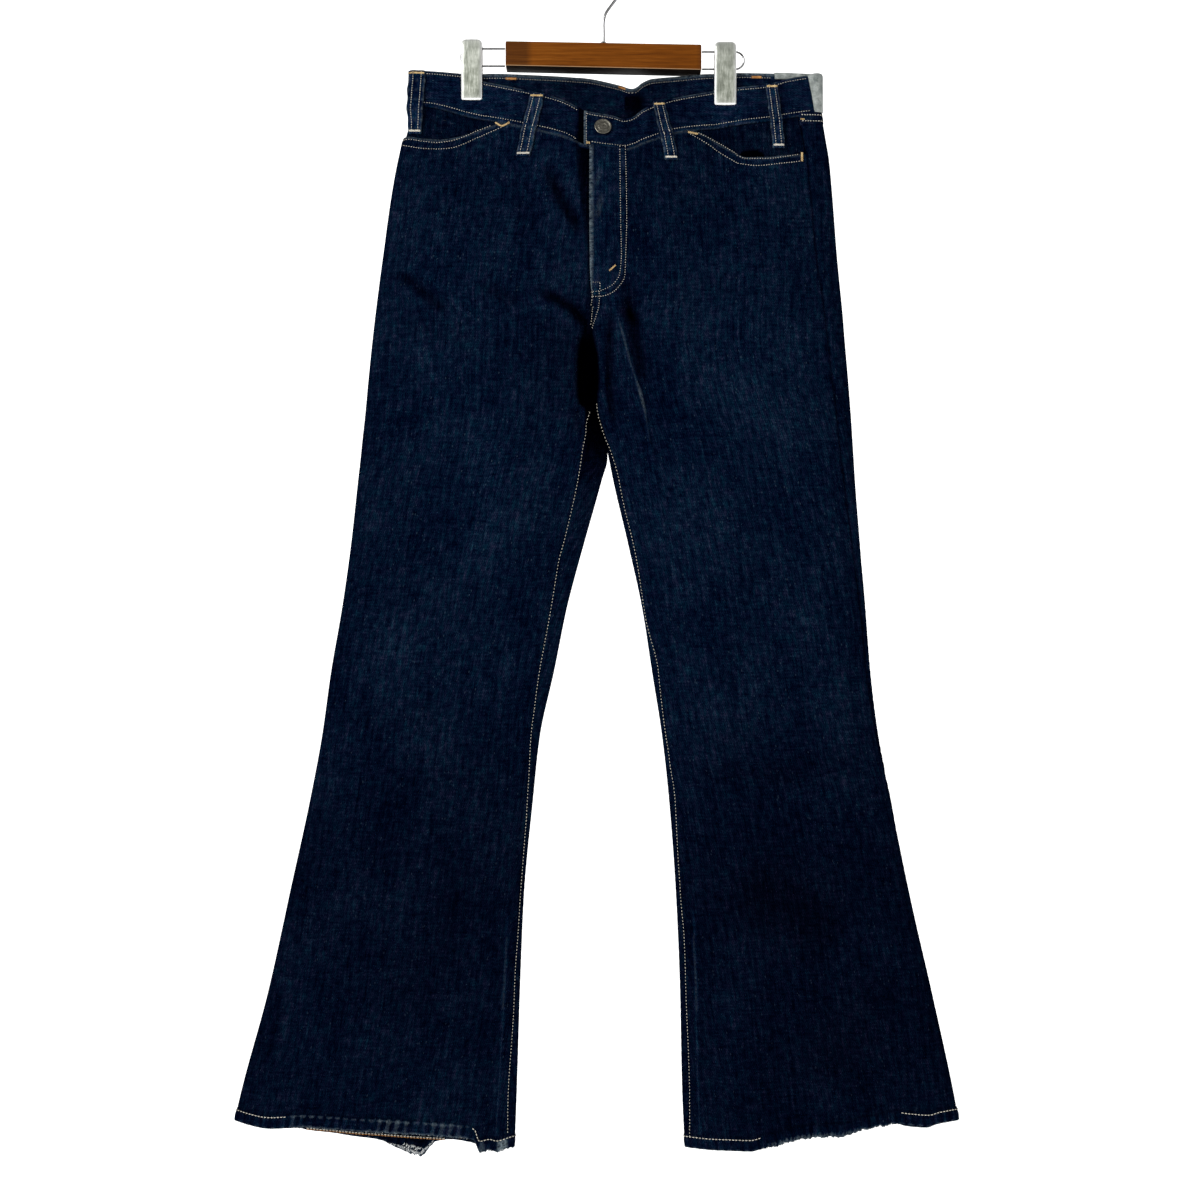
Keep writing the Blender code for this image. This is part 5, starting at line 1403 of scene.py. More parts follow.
def patch_material():
    m, tree, shader = material("bare_patch")
    coord = node(tree, "TexCoord").outputs["Object"]
    n = noise(tree, coord, 120.0, 4.0, 0.6)
    fine = noise(tree, coord, 900.0, 2.0, 0.6)
    v = maths(tree, "ADD", maths(tree, "MULTIPLY", n, 0.7), maths(tree, "MULTIPLY", fine, 0.3))
    tree.links.new(
        ramp(tree, v, [(0.36, (0.09, 0.105, 0.10)), (0.5, (0.20, 0.22, 0.21)), (0.66, (0.38, 0.40, 0.38))]),
        shader.inputs["Base Color"],
    )
    shader.inputs["Roughness"].default_value = 0.75
    shader.inputs["Specular IOR Level"].default_value = 0.25
    bump = node(tree, "Bump")
    bump.inputs["Strength"].default_value = 0.5
    bump.inputs["Distance"].default_value = 0.0003
    tree.links.new(v, bump.inputs["Height"])
    tree.links.new(bump.outputs[0], shader.inputs["Normal"])
    return m


PATCH = patch_material()


def patch():
    low = np.linspace(-0.02, 0.97, 26)[1:]
    t_out = np.concatenate([[0.12, 0.02, -0.045, -0.055, -0.035], low])[:, None]
    t_in = np.concatenate([[0.12, 0.02, -0.012, -0.012, -0.008], low])[:, None]
    o_out = np.concatenate([[-3.7, -3.7, -3.3, -1.0, 1.0], np.full(25, 2.2)])[:, None]
    o_in = np.concatenate([[-2.9, -2.9, -2.6, -1.0, 0.4], np.full(25, 1.2)])[:, None]
    fold_l = float(outer["L"](128.0)) - FOLD_RADIUS
    pieces = []

    def at_face(face, x, t, o):
        top, seam = (front_top(x), front_seam(x)) if face == "front" else (back_top(x), back_seam(x))
        return on_face(face, x, top + (seam - top) * t, o)

    def face_part(face, xs):
        return at_face(face, xs, t_out, o_out), at_face(face, xs, t_in, o_in)

    u = np.linspace(0, 1, 8)[None, :]
    edge = 203.6 + 7.0 * np.clip(t_out, 0, 1) ** 0.8
    pieces.append(face_part("front", edge + (fold_l - edge) * u))
    turn = np.linspace(0, math.pi, 20)[1:-1][None, :]
    c = fold_l
    ft, fs, bt, bs = float(front_top(c)), float(front_seam(c)), float(back_top(c)), float(back_seam(c))
    two = []
    for t, o in ((t_out, o_out), (t_in, o_in)):
        fd, bd = ft + (fs - ft) * t, bt + (bs - bt) * t
        fy, by = front_out(np.full_like(fd, c), fd), back_out(np.full_like(bd, c), bd)
        mid, half = (by - fy) / 2, (by + fy) / 2
        d = fd + (bd - fd) * turn / math.pi
        gx = c + (FOLD_RADIUS + o) * np.sin(turn)
        gy = mid - (half + o) * np.cos(turn)
        two.append(np.stack([gx, gy, -d], -1))
    pieces.append(tuple(two))
    pieces.append(face_part("back", np.linspace(fold_l, 171.5, 28)[None, :] + 0 * t_out))
    O = np.concatenate([p[0] for p in pieces], 1)
    I = np.concatenate([p[1] for p in pieces], 1)
    obj = shell("waist_patch", O, I, PATCH)
    finish_piece(obj, "patch", "waist_patch", flat=(0.066, 0.038))


patch()


# ================================================================ stitches
def tube_beads(name, starts, mids, ends, radius, mat, sides=6):
    """Many short stitches as one mesh: each a little arched, tapered tube."""
    rings = []
    A, M, B = np.asarray(starts), np.asarray(mids), np.asarray(ends)
    n = len(A)
    axis = B - A
    axis /= np.maximum(np.linalg.norm(axis, axis=1, keepdims=True), 1e-9)
    ref = M - (A + B) / 2
    bad = np.linalg.norm(ref, axis=1) < 1e-6
    ref[bad] = np.array([0, -1.0, 0])
    ref -= (ref * axis).sum(1, keepdims=True) * axis
    ref /= np.maximum(np.linalg.norm(ref, axis=1, keepdims=True), 1e-9)
    oth = np.cross(axis, ref)
    ts = (0.0, 0.18, 0.5, 0.82, 1.0)
    size = (0.45, 0.95, 1.05, 0.95, 0.45)
    ang = np.linspace(0, 2 * math.pi, sides, endpoint=False)
    verts = np.zeros((n, len(ts), sides, 3))
    for k, (t, r) in enumerate(zip(ts, size)):
        c = (1 - t) ** 2 * A + 2 * t * (1 - t) * (2 * M - (A + B) / 2) + t * t * B
        for j, w in enumerate(ang):
            verts[:, k, j] = c + radius * r * (math.cos(w) * ref + math.sin(w) * oth)
    per = len(ts) * sides
    base = []
    for k in range(len(ts) - 1):
        for j in range(sides):
            j2 = (j + 1) % sides
            base.append((k * sides + j, k * sides + j2, (k + 1) * sides + j2, (k + 1) * sides + j))
    faces = [tuple(range(sides))[::-1], tuple((len(ts) - 1) * sides + j for j in range(sides))]
    allf = []
    bq = np.array(base)
    for i in range(n):
        allf.extend((bq + i * per).tolist())
        allf.append([i * per + f for f in faces[0]])
        allf.append([i * per + f for f in faces[1]])
    return mesh_piece(name, verts.reshape(-1, 3), allf, mat)


def stitch_run(path_fn, length, pitch=2.5, gap=1.25, high=0.42, jitter=0.14):
    """Starts, middles and ends of the stitches along a path given as
    path_fn(array of distances, height above the cloth)."""
    n = max(1, int(length / pitch))
    at = (np.arange(n) + 0.15) * length / n
    at = at + RNG.uniform(-jitter, jitter, n)
    a, b = at, at + length / n - gap
    return path_fn(a, -0.05), path_fn((a + b) / 2, high), path_fn(b, -0.05)


def polyline(points):
    p = np.asarray(points, float)
    lens = np.concatenate([[0], np.cumsum(np.hypot(*np.diff(p, axis=0).T))])
    fx, fd = monotone(lens, p[:, 0]), monotone(lens, p[:, 1])
    return lens[-1], fx, fd


def row_on_front(points, out=0.0, view=True, **kw):
    """Stitches along (x, drop) points of the photograph's view, on the front."""
    if view:
        ax, ad = seen([p[0] for p in points], [p[1] for p in points])
        points = list(zip(ax, ad))
    length, fx, fd = polyline(points)

    def path(q, h):
        o = out(fx(q)) if callable(out) else out
        return on_face("front", fx(q), fd(q), o + h)

    return stitch_run(path, length, **kw)


def row_on_back(points, out=0.0, **kw):
    length, fx, fd = polyline(points)
    return stitch_run(lambda q, h: on_face("back", fx(q), fd(q), out + h), length, **kw)


def row_on_side(side, s_fn, d0, d1, out=0.0, **kw):
    """Stitches down one side's cloth at length s_fn(drop) from the fold."""
    return stitch_run(lambda q, h: on_side(side, s_fn(d0 + q), d0 + q, out + h), d1 - d0, **kw)


def plane_points(points, y):
    """Picture points to x and drop on the plane this far behind the middle."""
    ex, ed, far = EYE
    k = 1 + y / far
    return [(ex + (px - 600.0) * k, ed + (py - 600.0) * k) for px, py in points]


def row_inside(points, y, **kw):
    """Stitches on the inside of the back, facing the front."""
    length, fx, fd = polyline(plane_points(points, y))
    return stitch_run(lambda q, h: np.stack([fx(q), y - h + 0 * q, -fd(q)], -1), length, **kw)


def row_down_front(side, points, out=0.0, **kw):
    """Stitches down a leg through picture points, kept on the cloth's curve."""
    ax, ad = seen([p[0] for p in points], [p[1] for p in points])
    s_at = monotone(ad, length_to(side, "front", ad, ax))
    length = float(ad[-1] - ad[0])
    return stitch_run(lambda q, h: on_side(side, s_at(ad[0] + q), ad[0] + q, out + h), length, **kw)


def sew(name, runs, radius, mat):
    a = np.concatenate([r[0] for r in runs])
    m = np.concatenate([r[1] for r in runs])
    b = np.concatenate([r[2] for r in runs])
    obj = tube_beads(name, a, m, b, radius, mat)
    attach(obj, "root")
    return obj


def view(points):
    """Picture points (px, py of the photograph) to x and drop."""
    return [(px - 603.5, py + 36.0) for px, py in points]


# waistband: one row along each edge, in front and behind
def band_row(face, x0, x1, t, out=0.0):
    xs = np.linspace(x0, x1, 80)
    top, seam = (front_top(xs), front_seam(xs)) if face == "front" else (back_top(xs), back_seam(xs))
    d = top + (seam - top) * t
    pts = list(zip(xs, d))
    o = BAND_PROUD + float(band_profile(np.float64(t)))
    if face == "front":
        if callable(out):
            return row_on_front(pts, lambda x: o + out(x), view=False)
        return row_on_front(pts, o + out, view=False)
    return row_on_back(pts, o + out)


fold_r, fold_l = float(outer["R"](128.0)) + 5.0, float(outer["L"](128.0)) - 5.0
LAP = BAND_WALL + 0.3
tucked = lambda x: -LAP * (1 - smooth((-x - 20.0) / 20.0))
sew(
    "stitch_waistband",
    [
        band_row("front", fold_r, -25.6, 0.062, tucked),
        band_row("front", fold_r, -25.6, 0.915, tucked),
        band_row("front", LAP_TO + 1.6, fold_l - 9.5, 0.062),
        band_row("front", LAP_TO + 1.6, fold_l - 6.0, 0.915),
        band_row("back", fold_r, fold_l - 30.0, 0.062),
        band_row("back", fold_r, fold_l, 0.93),
        row_on_front(
            [(LAP_TO + 1.4, front_top(LAP_TO) + 1.6), (LAP_TO + 1.4, front_seam(LAP_TO) - 2.0)],
            BAND_PROUD,
            view=False,
        ),
    ],
    0.37,
    TAN,
)

# inside of the back band, seen over the front: one row under the top edge
runs = []
for t in (0.10,):
    xs = np.linspace(-180.0, 168.0, 120)
    d = back_top(xs) + (back_seam(xs) - back_top(xs)) * t
    runs.append(row_on_back(list(zip(xs, d)), -BAND_WALL + BAND_PROUD - 0.15, high=-0.4))
sew("stitch_band_inside", runs, 0.36, TAN)

# fly: two J rows, one close to the lapped edge, and a square tack
J1 = view([(619.6, 146.8), (620.6, 218), (621.5, 255), (619.7, 273.2), (613.8, 283.5), (605, 288.7), (599, 290.6), (590.3, 291.2)])
J2 = view([(625.2, 146.8), (626.6, 218), (625.6, 260), (624.9, 274.7), (619.7, 285), (612.4, 292.4), (600.6, 296), (590, 296)])
CROTCH_ROWS = [
    view([(593.5, 281.3), (593.4, 292), (593, 302.6), (591, 308.5), (590, 324.7)]),
    view([(599.4, 290.3), (599.9, 296.8), (599.1, 307), (596.9, 315.9), (594.4, 324.7), (593.5, 329)]),
    view([(593.5, 281.3), (600.9, 282)]),
    view([(600.3, 282), (600.3, 289.6)]),
]
sew(
    "stitch_fly",
    [row_on_front(J1, 1.55, pitch=2.35), row_on_front(J2, 0.95, pitch=2.35)],
    0.37,
    TAN,
)
sew(
    "stitch_crotch",
    [
        row_on_front(CROTCH_ROWS[0], 1.5, pitch=2.2),
        row_on_front(CROTCH_ROWS[1], 1.5, pitch=2.2),
        row_on_front(CROTCH_ROWS[2], 2.4, pitch=1.8),
        row_on_front(CROTCH_ROWS[3], 2.4, pitch=1.8),
    ],
    0.37,
    TAN,
)

# pocket mouths
MOUTH_ROWS = {
    "R": [
        view([(403.3, 140.6), (408.8, 139.4), (422.5, 141.4), (436.3, 142.8), (450, 141.4), (463.9, 137.3), (477.6, 131.1), (491.4, 125.6)]),
        view([(401.2, 146.4), (408.8, 146.4), (422.5, 148.5), (436.3, 149.2), (450, 148.5), (463.9, 144.3), (477.6, 138), (491.4, 132), (502.4, 127.1)]),
    ],
    "L": [
        view([(697.8, 132.7), (716, 142.1), (732.7, 152.6), (746, 159.3), (766, 159.3), (799, 154.3)]),
        view([(689.5, 133.6), (708, 144.5), (726, 157), (741, 164.4), (757.5, 166.1), (782.4, 163.6), (800.6, 161.1)]),
    ],
}
for side in "RL":
    runs = []
    for pts in MOUTH_ROWS[side]:
        ax, ad = seen([p[0] for p in pts], [p[1] for p in pts])
        length, fx, fd = polyline(list(zip(ax, ad)))
        runs.append(
            stitch_run(
                lambda q, h, fx=fx, fd=fd, side=side: on_face("front", fx(q), fd(q), gape(side, fx(q), fd(q)) + 0.45 + h),
                length,
            )
        )
    sew(f"stitch_pocket_{side}", runs, 0.37, TAN)

# inside seams: one row down the front of each leg
INSEAM_ROWS = {
    "R": view([
        (589.6, 411.5), (586.6, 421.8), (585.1, 436.5), (582.4, 449.7), (578.3, 477), (565, 537), (557.8, 565), (540, 667),
        (532.6, 720), (525, 831), (516.6, 948), (509, 1074), (507.5, 1134),
    ]),
    "L": view([
        (597.2, 403), (599, 417), (604.7, 435.5), (611.6, 452.7), (618.5, 475.6), (622.3, 496), (636.8, 559), (646, 617),
        (658.6, 671), (670.8, 768), (678, 851), (682.9, 919), (686.3, 996), (689.7, 1085), (689.9, 1138),
    ]),
}
for side in "RL":
    sew(
        f"stitch_inseam_{side}",
        [
            row_down_front(side, INSEAM_ROWS[side], 0.55, pitch=3.3, gap=1.65, high=0.42),
        ],
        0.31,
        INSEAM,
    )

# yokes: two rows under each yoke seam, and two down the centre back
for side in "RL":
    runs = []
    xo = float(outer[side](165.0)) + (8 if side == "R" else -8)
    for off in (-2.2, -8.2):
        xs = np.linspace(xo, -13.5 if side == "R" else -9.5, 60)
        runs.append(row_on_back(list(zip(xs, yoke_seam(side, xs) + off)), 0.9))
    if side == "L":
        for off in (2.0, 8.0):
            q = np.linspace(edge_at("L", 0, np.float64(165.0)) - 2.0, 2.0, 20)
            dd = np.full_like(q, float(front_seam(212.0)) + YOKE_SIDE - off)
            length = float(q[0] - q[-1])
            runs.append(
                stitch_run(
                    lambda k, h, off=off: on_side("L", float(edge_at("L", 0, np.float64(165.0))) - 2.0 - k, float(front_seam(212.0)) + YOKE_SIDE - off + 0 * k, 0.8 + h),
                    length,
                )
            )
    sew(f"stitch_yoke_{side}", runs, 0.40, CREAM)
centre = [(-9.3, 214.0), (-9.3, 260.0), (-9.3, 300.0), (-9.3, 330.0)]
centre2 = [(-3.4, 214.0), (-3.4, 260.0), (-3.4, 300.0), (-3.4, 326.0)]
sew("stitch_centre_back", [row_on_back(centre, 0.6), row_on_back(centre2, 0.6)], 0.40, TAN)

# back pockets: two rows round the edge and two along the mouth
for side in "RL":
    x, d, u, v = back_pocket_grid(side, 40, 40)
    runs = []
    for inset in (2.2, 8.0):
        k = inset / 150.0
        pts = []
        for uu, vv in (
            [(k, t) for t in np.linspace(0.01, 1 - k, 16)]
            + [(t, 1 - k) for t in np.linspace(k, 1 - k, 17)[1:-1]]
            + [(1 - k, t) for t in np.linspace(1 - k, 0.01, 16)]
        ):
            i, j = vv * 39, uu * 39
            i0, j0 = min(int(i), 38), min(int(j), 38)
            fi, fj = i - i0, j - j0
            px = (x[i0, j0] * (1 - fj) + x[i0, j0 + 1] * fj) * (1 - fi) + (x[i0 + 1, j0] * (1 - fj) + x[i0 + 1, j0 + 1] * fj) * fi
            pd = (d[i0, j0] * (1 - fj) + d[i0, j0 + 1] * fj) * (1 - fi) + (d[i0 + 1, j0] * (1 - fj) + d[i0 + 1, j0 + 1] * fj) * fi
            pts.append((px, pd))
        p = np.asarray(pts)
        lens = np.concatenate([[0], np.cumsum(np.hypot(*np.diff(p, axis=0).T))])
        runs.append(
            stitch_run(
                lambda q, h, p=p, lens=lens: on_face("back", np.interp(q, lens, p[:, 0]), np.interp(q, lens, p[:, 1]), 1.7 + h),
                lens[-1],
            )
        )
    for vv in (0.02, 0.10):
        runs.append(row_on_back([(x[0, j], d[int(vv * 39), j]) for j in range(1, 39, 3)], 2.1))
    sew(f"stitch_back_pocket_{side}", runs, 0.40, TAN)

# hems: one row round each leg, on the turned edge
for side in "RL":
    s, d, x, v, fu = hem_grid(side, 12)
    r = 2
    P, N = along3(side, s[r], d[r]), normal_at(side, s[r], d[r])
    P = P + N * 0.75
    P = np.concatenate([P, P[:1]])
    N = np.concatenate([N, N[:1]])
    lens = np.concatenate([[0], np.cumsum(np.linalg.norm(np.diff(P, axis=0), axis=1))])

    def hem_path(q, h, P=P, N=N, lens=lens):
        p = np.stack([np.interp(q, lens, P[:, k]) for k in range(3)], -1)
        n = np.stack([np.interp(q, lens, N[:, k]) for k in range(3)], -1)
        return p + n * h

    run = stitch_run(hem_path, lens[-1], pitch=3.3, gap=1.0)
    lo, hi = ROLLED[side]
    keep = ~((run[1][:, 1] < 0) & (run[1][:, 0] > lo + (2 if side == "R" else -8)) & (run[1][:, 0] < hi - 2))
    sew(f"stitch_hem_{side}", [tuple(part[keep] for part in run)], 0.40, CREAM)

# belt loops: two rows down each, and a bar tack at either end
tack_runs_gold, tack_runs_cream, loop_runs = [], [], []


def grid_point(face, x, d, lift, u, v):
    i, j = v * (x.shape[0] - 1), u * (x.shape[1] - 1)
    i0, j0 = np.minimum(i.astype(int), x.shape[0] - 2), np.minimum(j.astype(int), x.shape[1] - 2)
    fi, fj = i - i0, j - j0

    def pick(a):
        return (a[i0, j0] * (1 - fj) + a[i0, j0 + 1] * fj) * (1 - fi) + (a[i0 + 1, j0] * (1 - fj) + a[i0 + 1, j0 + 1] * fj) * fi

    return pick(x), pick(d), pick(lift)


for name, (face, x, d, lift) in LOOP_GRIDS.items():
    for u in (0.24, 0.76):

        def path(q, h, u=u, face=face, x=x, d=d, lift=lift):
            px, pd, pl = grid_point(face, x, d, lift, np.full_like(q, u), np.clip(q / 62.0, 0, 1))
            return on_face(face, px, pd, pl + h)

        loop_runs.append(stitch_run(path, 60.0, pitch=2.4, gap=1.0))
    for v, runs in ((0.035, tack_runs_gold), (0.965, tack_runs_cream)):
        n = 15
        u = np.linspace(0.06, 0.94, n)
        for half in (0.0,):
            def zig(u_, dv, h):
                px, pd, pl = grid_point(face, x, d, lift, u_, np.full_like(u_, v + dv))
                return on_face(face, px, pd, pl + h)

            runs.append((zig(u, -0.016, 0.1), zig(u, 0.0, 0.75), zig(u, 0.016, 0.1)))
sew("stitch_loops", loop_runs, 0.38, TAN)
sew("tacks_loops_top", tack_runs_gold, 0.50, GOLD)
sew("tacks_loops_low", tack_runs_cream, 0.50, CREAM)


def tack(points, width, out, n=None):
    """A dense bar of short stitches across a line of picture points."""
    ax, ad = seen([p[0] for p in points], [p[1] for p in points])
    length, fx, fd = polyline(list(zip(ax, ad)))
    n = n or max(5, int(length / 0.8))
    q = np.linspace(0, length, n)
    x, d = fx(q), fd(q)
    tx, td = np.gradient(x), np.gradient(d)
    norm = np.hypot(tx, td)
    px, pd = -td / norm * width / 2, tx / norm * width / 2
    return (
        on_face("front", x - px, d - pd, out),
        on_face("front", x, d, out + 0.7),
        on_face("front", x + px, d + pd, out),
    )


sew(
    "tacks_front",
    [
        tack(view([(496.2, 123.0), (502.5, 126.0), (509.3, 123.0)]), 1.9, 0.9),
        tack(view([(688, 132.2), (697, 134)]), 2.0, 0.9),
        tack(view([(801.9, 153), (801.9, 161)]), 2.4, 0.9),
        tack(view([(609.8, 270), (615.4, 265)]), 1.8, 1.7),
    ],
    0.45,
    GOLD,
)
sew(
    "tacks_band",
    [
        tack(view([(586.4, 142.4), (590.8, 142.6)]), 2.6, BAND_PROUD + 0.4),
        tack(view([(804.0, 119.4), (800.6, 119.2)]), 1.6, 1.0),
    ],
    0.42,
    GOLD,
)
INSIDE_TACKS = [[(506, 78.6), (516, 78.8)], [(619, 87.0), (630, 90.6)], [(752, 77.2), (761, 77.2)]]
runs = []
for pts in INSIDE_TACKS:
    y = 16.0
    (xa, da), (xb, db) = plane_points(pts, y)
    y = float(back_out(np.float64((xa + xb) / 2), np.float64((da + db) / 2))) - BAND_WALL + BAND_PROUD - 0.3
    (xa, da), (xb, db) = plane_points(pts, y)
    q = np.linspace(0, 1, 13)
    x, d = xa + (xb - xa) * q, da + (db - da) * q
    runs.append(tuple(np.stack([x, y - h + 0 * q, -(d + k)], -1) for k, h in ((-1.3, 0.0), (0.0, 0.7), (1.3, 0.0))))
sew("tacks_inside", runs, 0.45, RUST)

# the back hem's inside row shows below the worn front hem of one leg
hem_runs = []
for pts in (
    [(306, 1127.8), (332, 1130.2), (358, 1132.6), (385, 1134.4), (405.6, 1136), (445, 1138.5)],
):
    hem_runs.append(row_inside(pts, 6.5, pitch=3.2, gap=0.9))
sew("stitch_hem_inside_R", hem_runs, 0.62, CREAM)
low_run = [(306, 1129.0), (332, 1131.4), (358, 1133.8), (385, 1135.6), (405.6, 1137.2), (445, 1139.6)]
sew("stitch_hem_inside_low_R", [row_inside(low_run, 6.5, pitch=3.2, gap=0.5)], 0.40, RUST)


def fringe(name, spots):
    """Loose threads of a frayed edge: (px, py, y, length, lean) each."""
    a, m, b = [], [], []
    for px, py, y, length, lean in spots:
        (x, d) = plane_points([(px, py)], y)[0]
        a.append((x, y, -d))
        m.append((x + lean * 0.35 + RNG.uniform(-0.6, 0.6), y - RNG.uniform(0.1, 0.9), -(d + length * 0.55)))
        b.append((x + lean, y + RNG.uniform(-0.5, 0.5), -(d + length)))
    obj = tube_beads(name, a, m, b, 0.26, FRAY)
    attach(obj, "root")


def frayed(x0, x1, y0, y1, depth, n, lo, hi, lean=1.2):
    out = []
    for k in range(n):
        t = (k + RNG.uniform(0.1, 0.9)) / n
        out.append((x0 + (x1 - x0) * t, y0 + (y1 - y0) * t + RNG.uniform(-0.8, 0.8), depth, RNG.uniform(lo, hi), RNG.uniform(-lean, lean)))
    return out


FRAY = thread("frayed_weft", (0.62, 0.63, 0.62), (0.34, 0.36, 0.38))
fringe(
    "fringe_hem_R",
    frayed(398, 421, 1145, 1153, 6.0, 30, 0.8, 4.2, 2.6)
    + frayed(404, 426, 1143, 1149, 5.0, 26, 1.0, 4.5, 3.2)
    + frayed(421, 434, 1152, 1140, 6.0, 18, 1.0, 3.6, 2.6)
    + frayed(376, 404, 1139, 1147, 6.0, 22, 0.8, 2.4)
    + frayed(476.5, 482, 1142, 1152, -6.0, 12, 1.0, 3.4)
    + frayed(482, 514, 1150, 1149, -6.0, 34, 0.8, 2.6)
    + frayed(300, 476, 1126, 1137.5, -7.0, 90, 0.5, 1.6, 2.0),
)
fringe(
    "fringe_hem_L",
    frayed(762, 800, 1147, 1137.5, -7.0, 44, 0.8, 3.2, 2.0)
    + frayed(800, 862, 1137.5, 1129.5, -7.0, 50, 0.6, 2.4, 2.0)
    + frayed(862, 898, 1129, 1122.5, -7.0, 22, 0.5, 1.6, 1.6)
    + frayed(690, 760, 1149.6, 1149.6, -7.0, 22, 0.4, 1.4),
)


# ================================================================ button
def metal(name, colour, rough, dark=None, scale=600.0, metallic=1.0):
    m, tree, shader = material(name)
    coord = node(tree, "TexCoord").outputs["Object"]
    n = noise(tree, coord, scale, 3.0, 0.6)
    dark = dark or tuple(c * 0.6 for c in colour)
    tree.links.new(ramp(tree, n, [(0.25, dark), (0.7, colour)]), shader.inputs["Base Color"])
    shader.inputs["Metallic"].default_value = metallic
    r = maths(tree, "ADD", maths(tree, "MULTIPLY", n, 0.18), rough - 0.09)
    tree.links.new(r, shader.inputs["Roughness"])
    bump = node(tree, "Bump")
    bump.inputs["Strength"].default_value = 0.15
    bump.inputs["Distance"].default_value = 0.0002
    tree.links.new(n, bump.inputs["Height"])
    tree.links.new(bump.outputs[0], shader.inputs["Normal"])
    return m


BUTTON_METAL = metal("button_metal", (0.19, 0.18, 0.15), 0.42, (0.035, 0.033, 0.03), 620.0)


def turned(name, profile, mat, at, up, steps=48):
    pts = np.asarray(profile, float)
    ang = np.linspace(0, 2 * math.pi, steps, endpoint=False)
    up = np.asarray(up, float)
    up /= np.linalg.norm(up)
    a = np.cross(up, [0, 0, 1.0]) if abs(up[2]) < 0.9 else np.cross(up, [0, 1.0, 0])
    a /= np.linalg.norm(a)
    b = np.cross(up, a)
    verts, faces = [], []
    for r, z in pts:
        for w in ang:
            verts.append(at + r * (math.cos(w) * a + math.sin(w) * b) + z * up)
    for i in range(len(pts) - 1):
        for j in range(steps):
            k = (j + 1) % steps
            faces.append((i * steps + j, i * steps + k, (i + 1) * steps + k, (i + 1) * steps + j))
    faces.append(tuple(range(steps))[::-1])
    faces.append(tuple((len(pts) - 1) * steps + j for j in range(steps)))
    return mesh_piece(name, verts, faces, mat, None, True, 35)


bx, bd = (float(v) for v in seen(*BUTTON_AT))
b0 = on_face("front", bx, bd, BAND_PROUD + 0.2)
b1 = on_face("front", bx, bd, BAND_PROUD + 1.2)
button = turned(
    "button",
    [
        (2.6, 0.0), (2.6, 1.6), (6.5, 1.8), (8.0, 2.1), (8.45, 2.7), (8.3, 3.3), (7.8, 3.6), (7.2, 3.55),
        (6.7, 3.25), (6.2, 3.1), (4.6, 3.2), (4.2, 3.45), (3.6, 3.5), (3.2, 3.3), (2.4, 3.15), (1.2, 3.3), (0.3, 3.35),
    ],
    BUTTON_METAL,
    b0,
    b1 - b0,
)
finish_piece(button, "button_metal", "button")


# ================================================================ hanger
def wood_material():
    m, tree, shader = material("stained_wood_painted_light")
    coord = node(tree, "TexCoord").outputs["Object"]
    grain = noise(tree, scaled(tree, coord, (14, 160, 420)), 1.0, 5.0, 0.62)
    fine = noise(tree, scaled(tree, coord, (60, 900, 1500)), 1.0, 3.0, 0.6)
    ends = noise(tree, scaled(tree, coord, (9, 20, 20)), 1.0, 1.0)
    v = maths(tree, "ADD", maths(tree, "MULTIPLY", grain, 0.7), maths(tree, "MULTIPLY", fine, 0.3))
    v = maths(tree, "ADD", v, maths(tree, "MULTIPLY", maths(tree, "SUBTRACT", ends, 0.5), 0.25))
    # painted shade: faces turned downwards are made almost black and the two ends are darker; a painted highlight makes
    # the eased lower edges pale
    split = node(tree, "SeparateXYZ")
    tree.links.new(node(tree, "NewGeometry").outputs["Normal"], split.inputs[0])
    place = node(tree, "SeparateXYZ")
    tree.links.new(coord, place.inputs[0])
    down = maths(tree, "MULTIPLY", split.outputs[2], -1.0)
    below = ramp_value(tree, down, 0.55, 0.85)
    rim = maths(tree, "MULTIPLY", ramp_value(tree, down, 0.12, 0.35), maths(tree, "SUBTRACT", 1.0, below))
    far_end = ramp_value(tree, maths(tree, "MULTIPLY", place.outputs[0], -1.0), 0.070, 0.077)
    other_end = ramp_value(tree, place.outputs[0], 0.092, 0.098)
    far_end = maths(tree, "MAXIMUM", maths(tree, "MULTIPLY", far_end, 0.50), maths(tree, "MULTIPLY", other_end, 0.4))
    shade_mix = node(tree, "Mix", data_type="RGBA", blend_type="MIX")
    shade_mix.inputs[7].default_value = (0.006, 0.004, 0.003, 1.0)
    tree.links.new(maths(tree, "MAXIMUM", below, far_end), shade_mix.inputs[0])
    tree.links.new(
        ramp(tree, v, [(0.28, (0.052, 0.013, 0.0015)), (0.5, (0.118, 0.033, 0.0028)), (0.72, (0.19, 0.062, 0.007))]),
        shade_mix.inputs[6],
    )
    # painted highlight along the eased lower edges
    pale = mix(tree, maths(tree, "MULTIPLY", rim, 0.6), shade_mix.outputs[2], (0.40, 0.27, 0.15))
    tree.links.new(pale, shader.inputs["Base Color"])
    shader.inputs["Roughness"].default_value = 0.6
    shader.inputs["Specular IOR Level"].default_value = 0.03
    shader.inputs["Coat Weight"].default_value = 0.0
    bump = node(tree, "Bump")
    bump.inputs["Strength"].default_value = 0.12
    bump.inputs["Distance"].default_value = 0.0003
    tree.links.new(v, bump.inputs["Height"])
    tree.links.new(bump.outputs[0], shader.inputs["Normal"])
    return m


WOOD = wood_material()
STEEL = metal("satin_steel", (0.47, 0.485, 0.455), 0.36, (0.36, 0.37, 0.345), 220.0)
CHROME = metal("bright_wire", (0.17, 0.17, 0.17), 0.24, (0.06, 0.06, 0.06), 300.0)


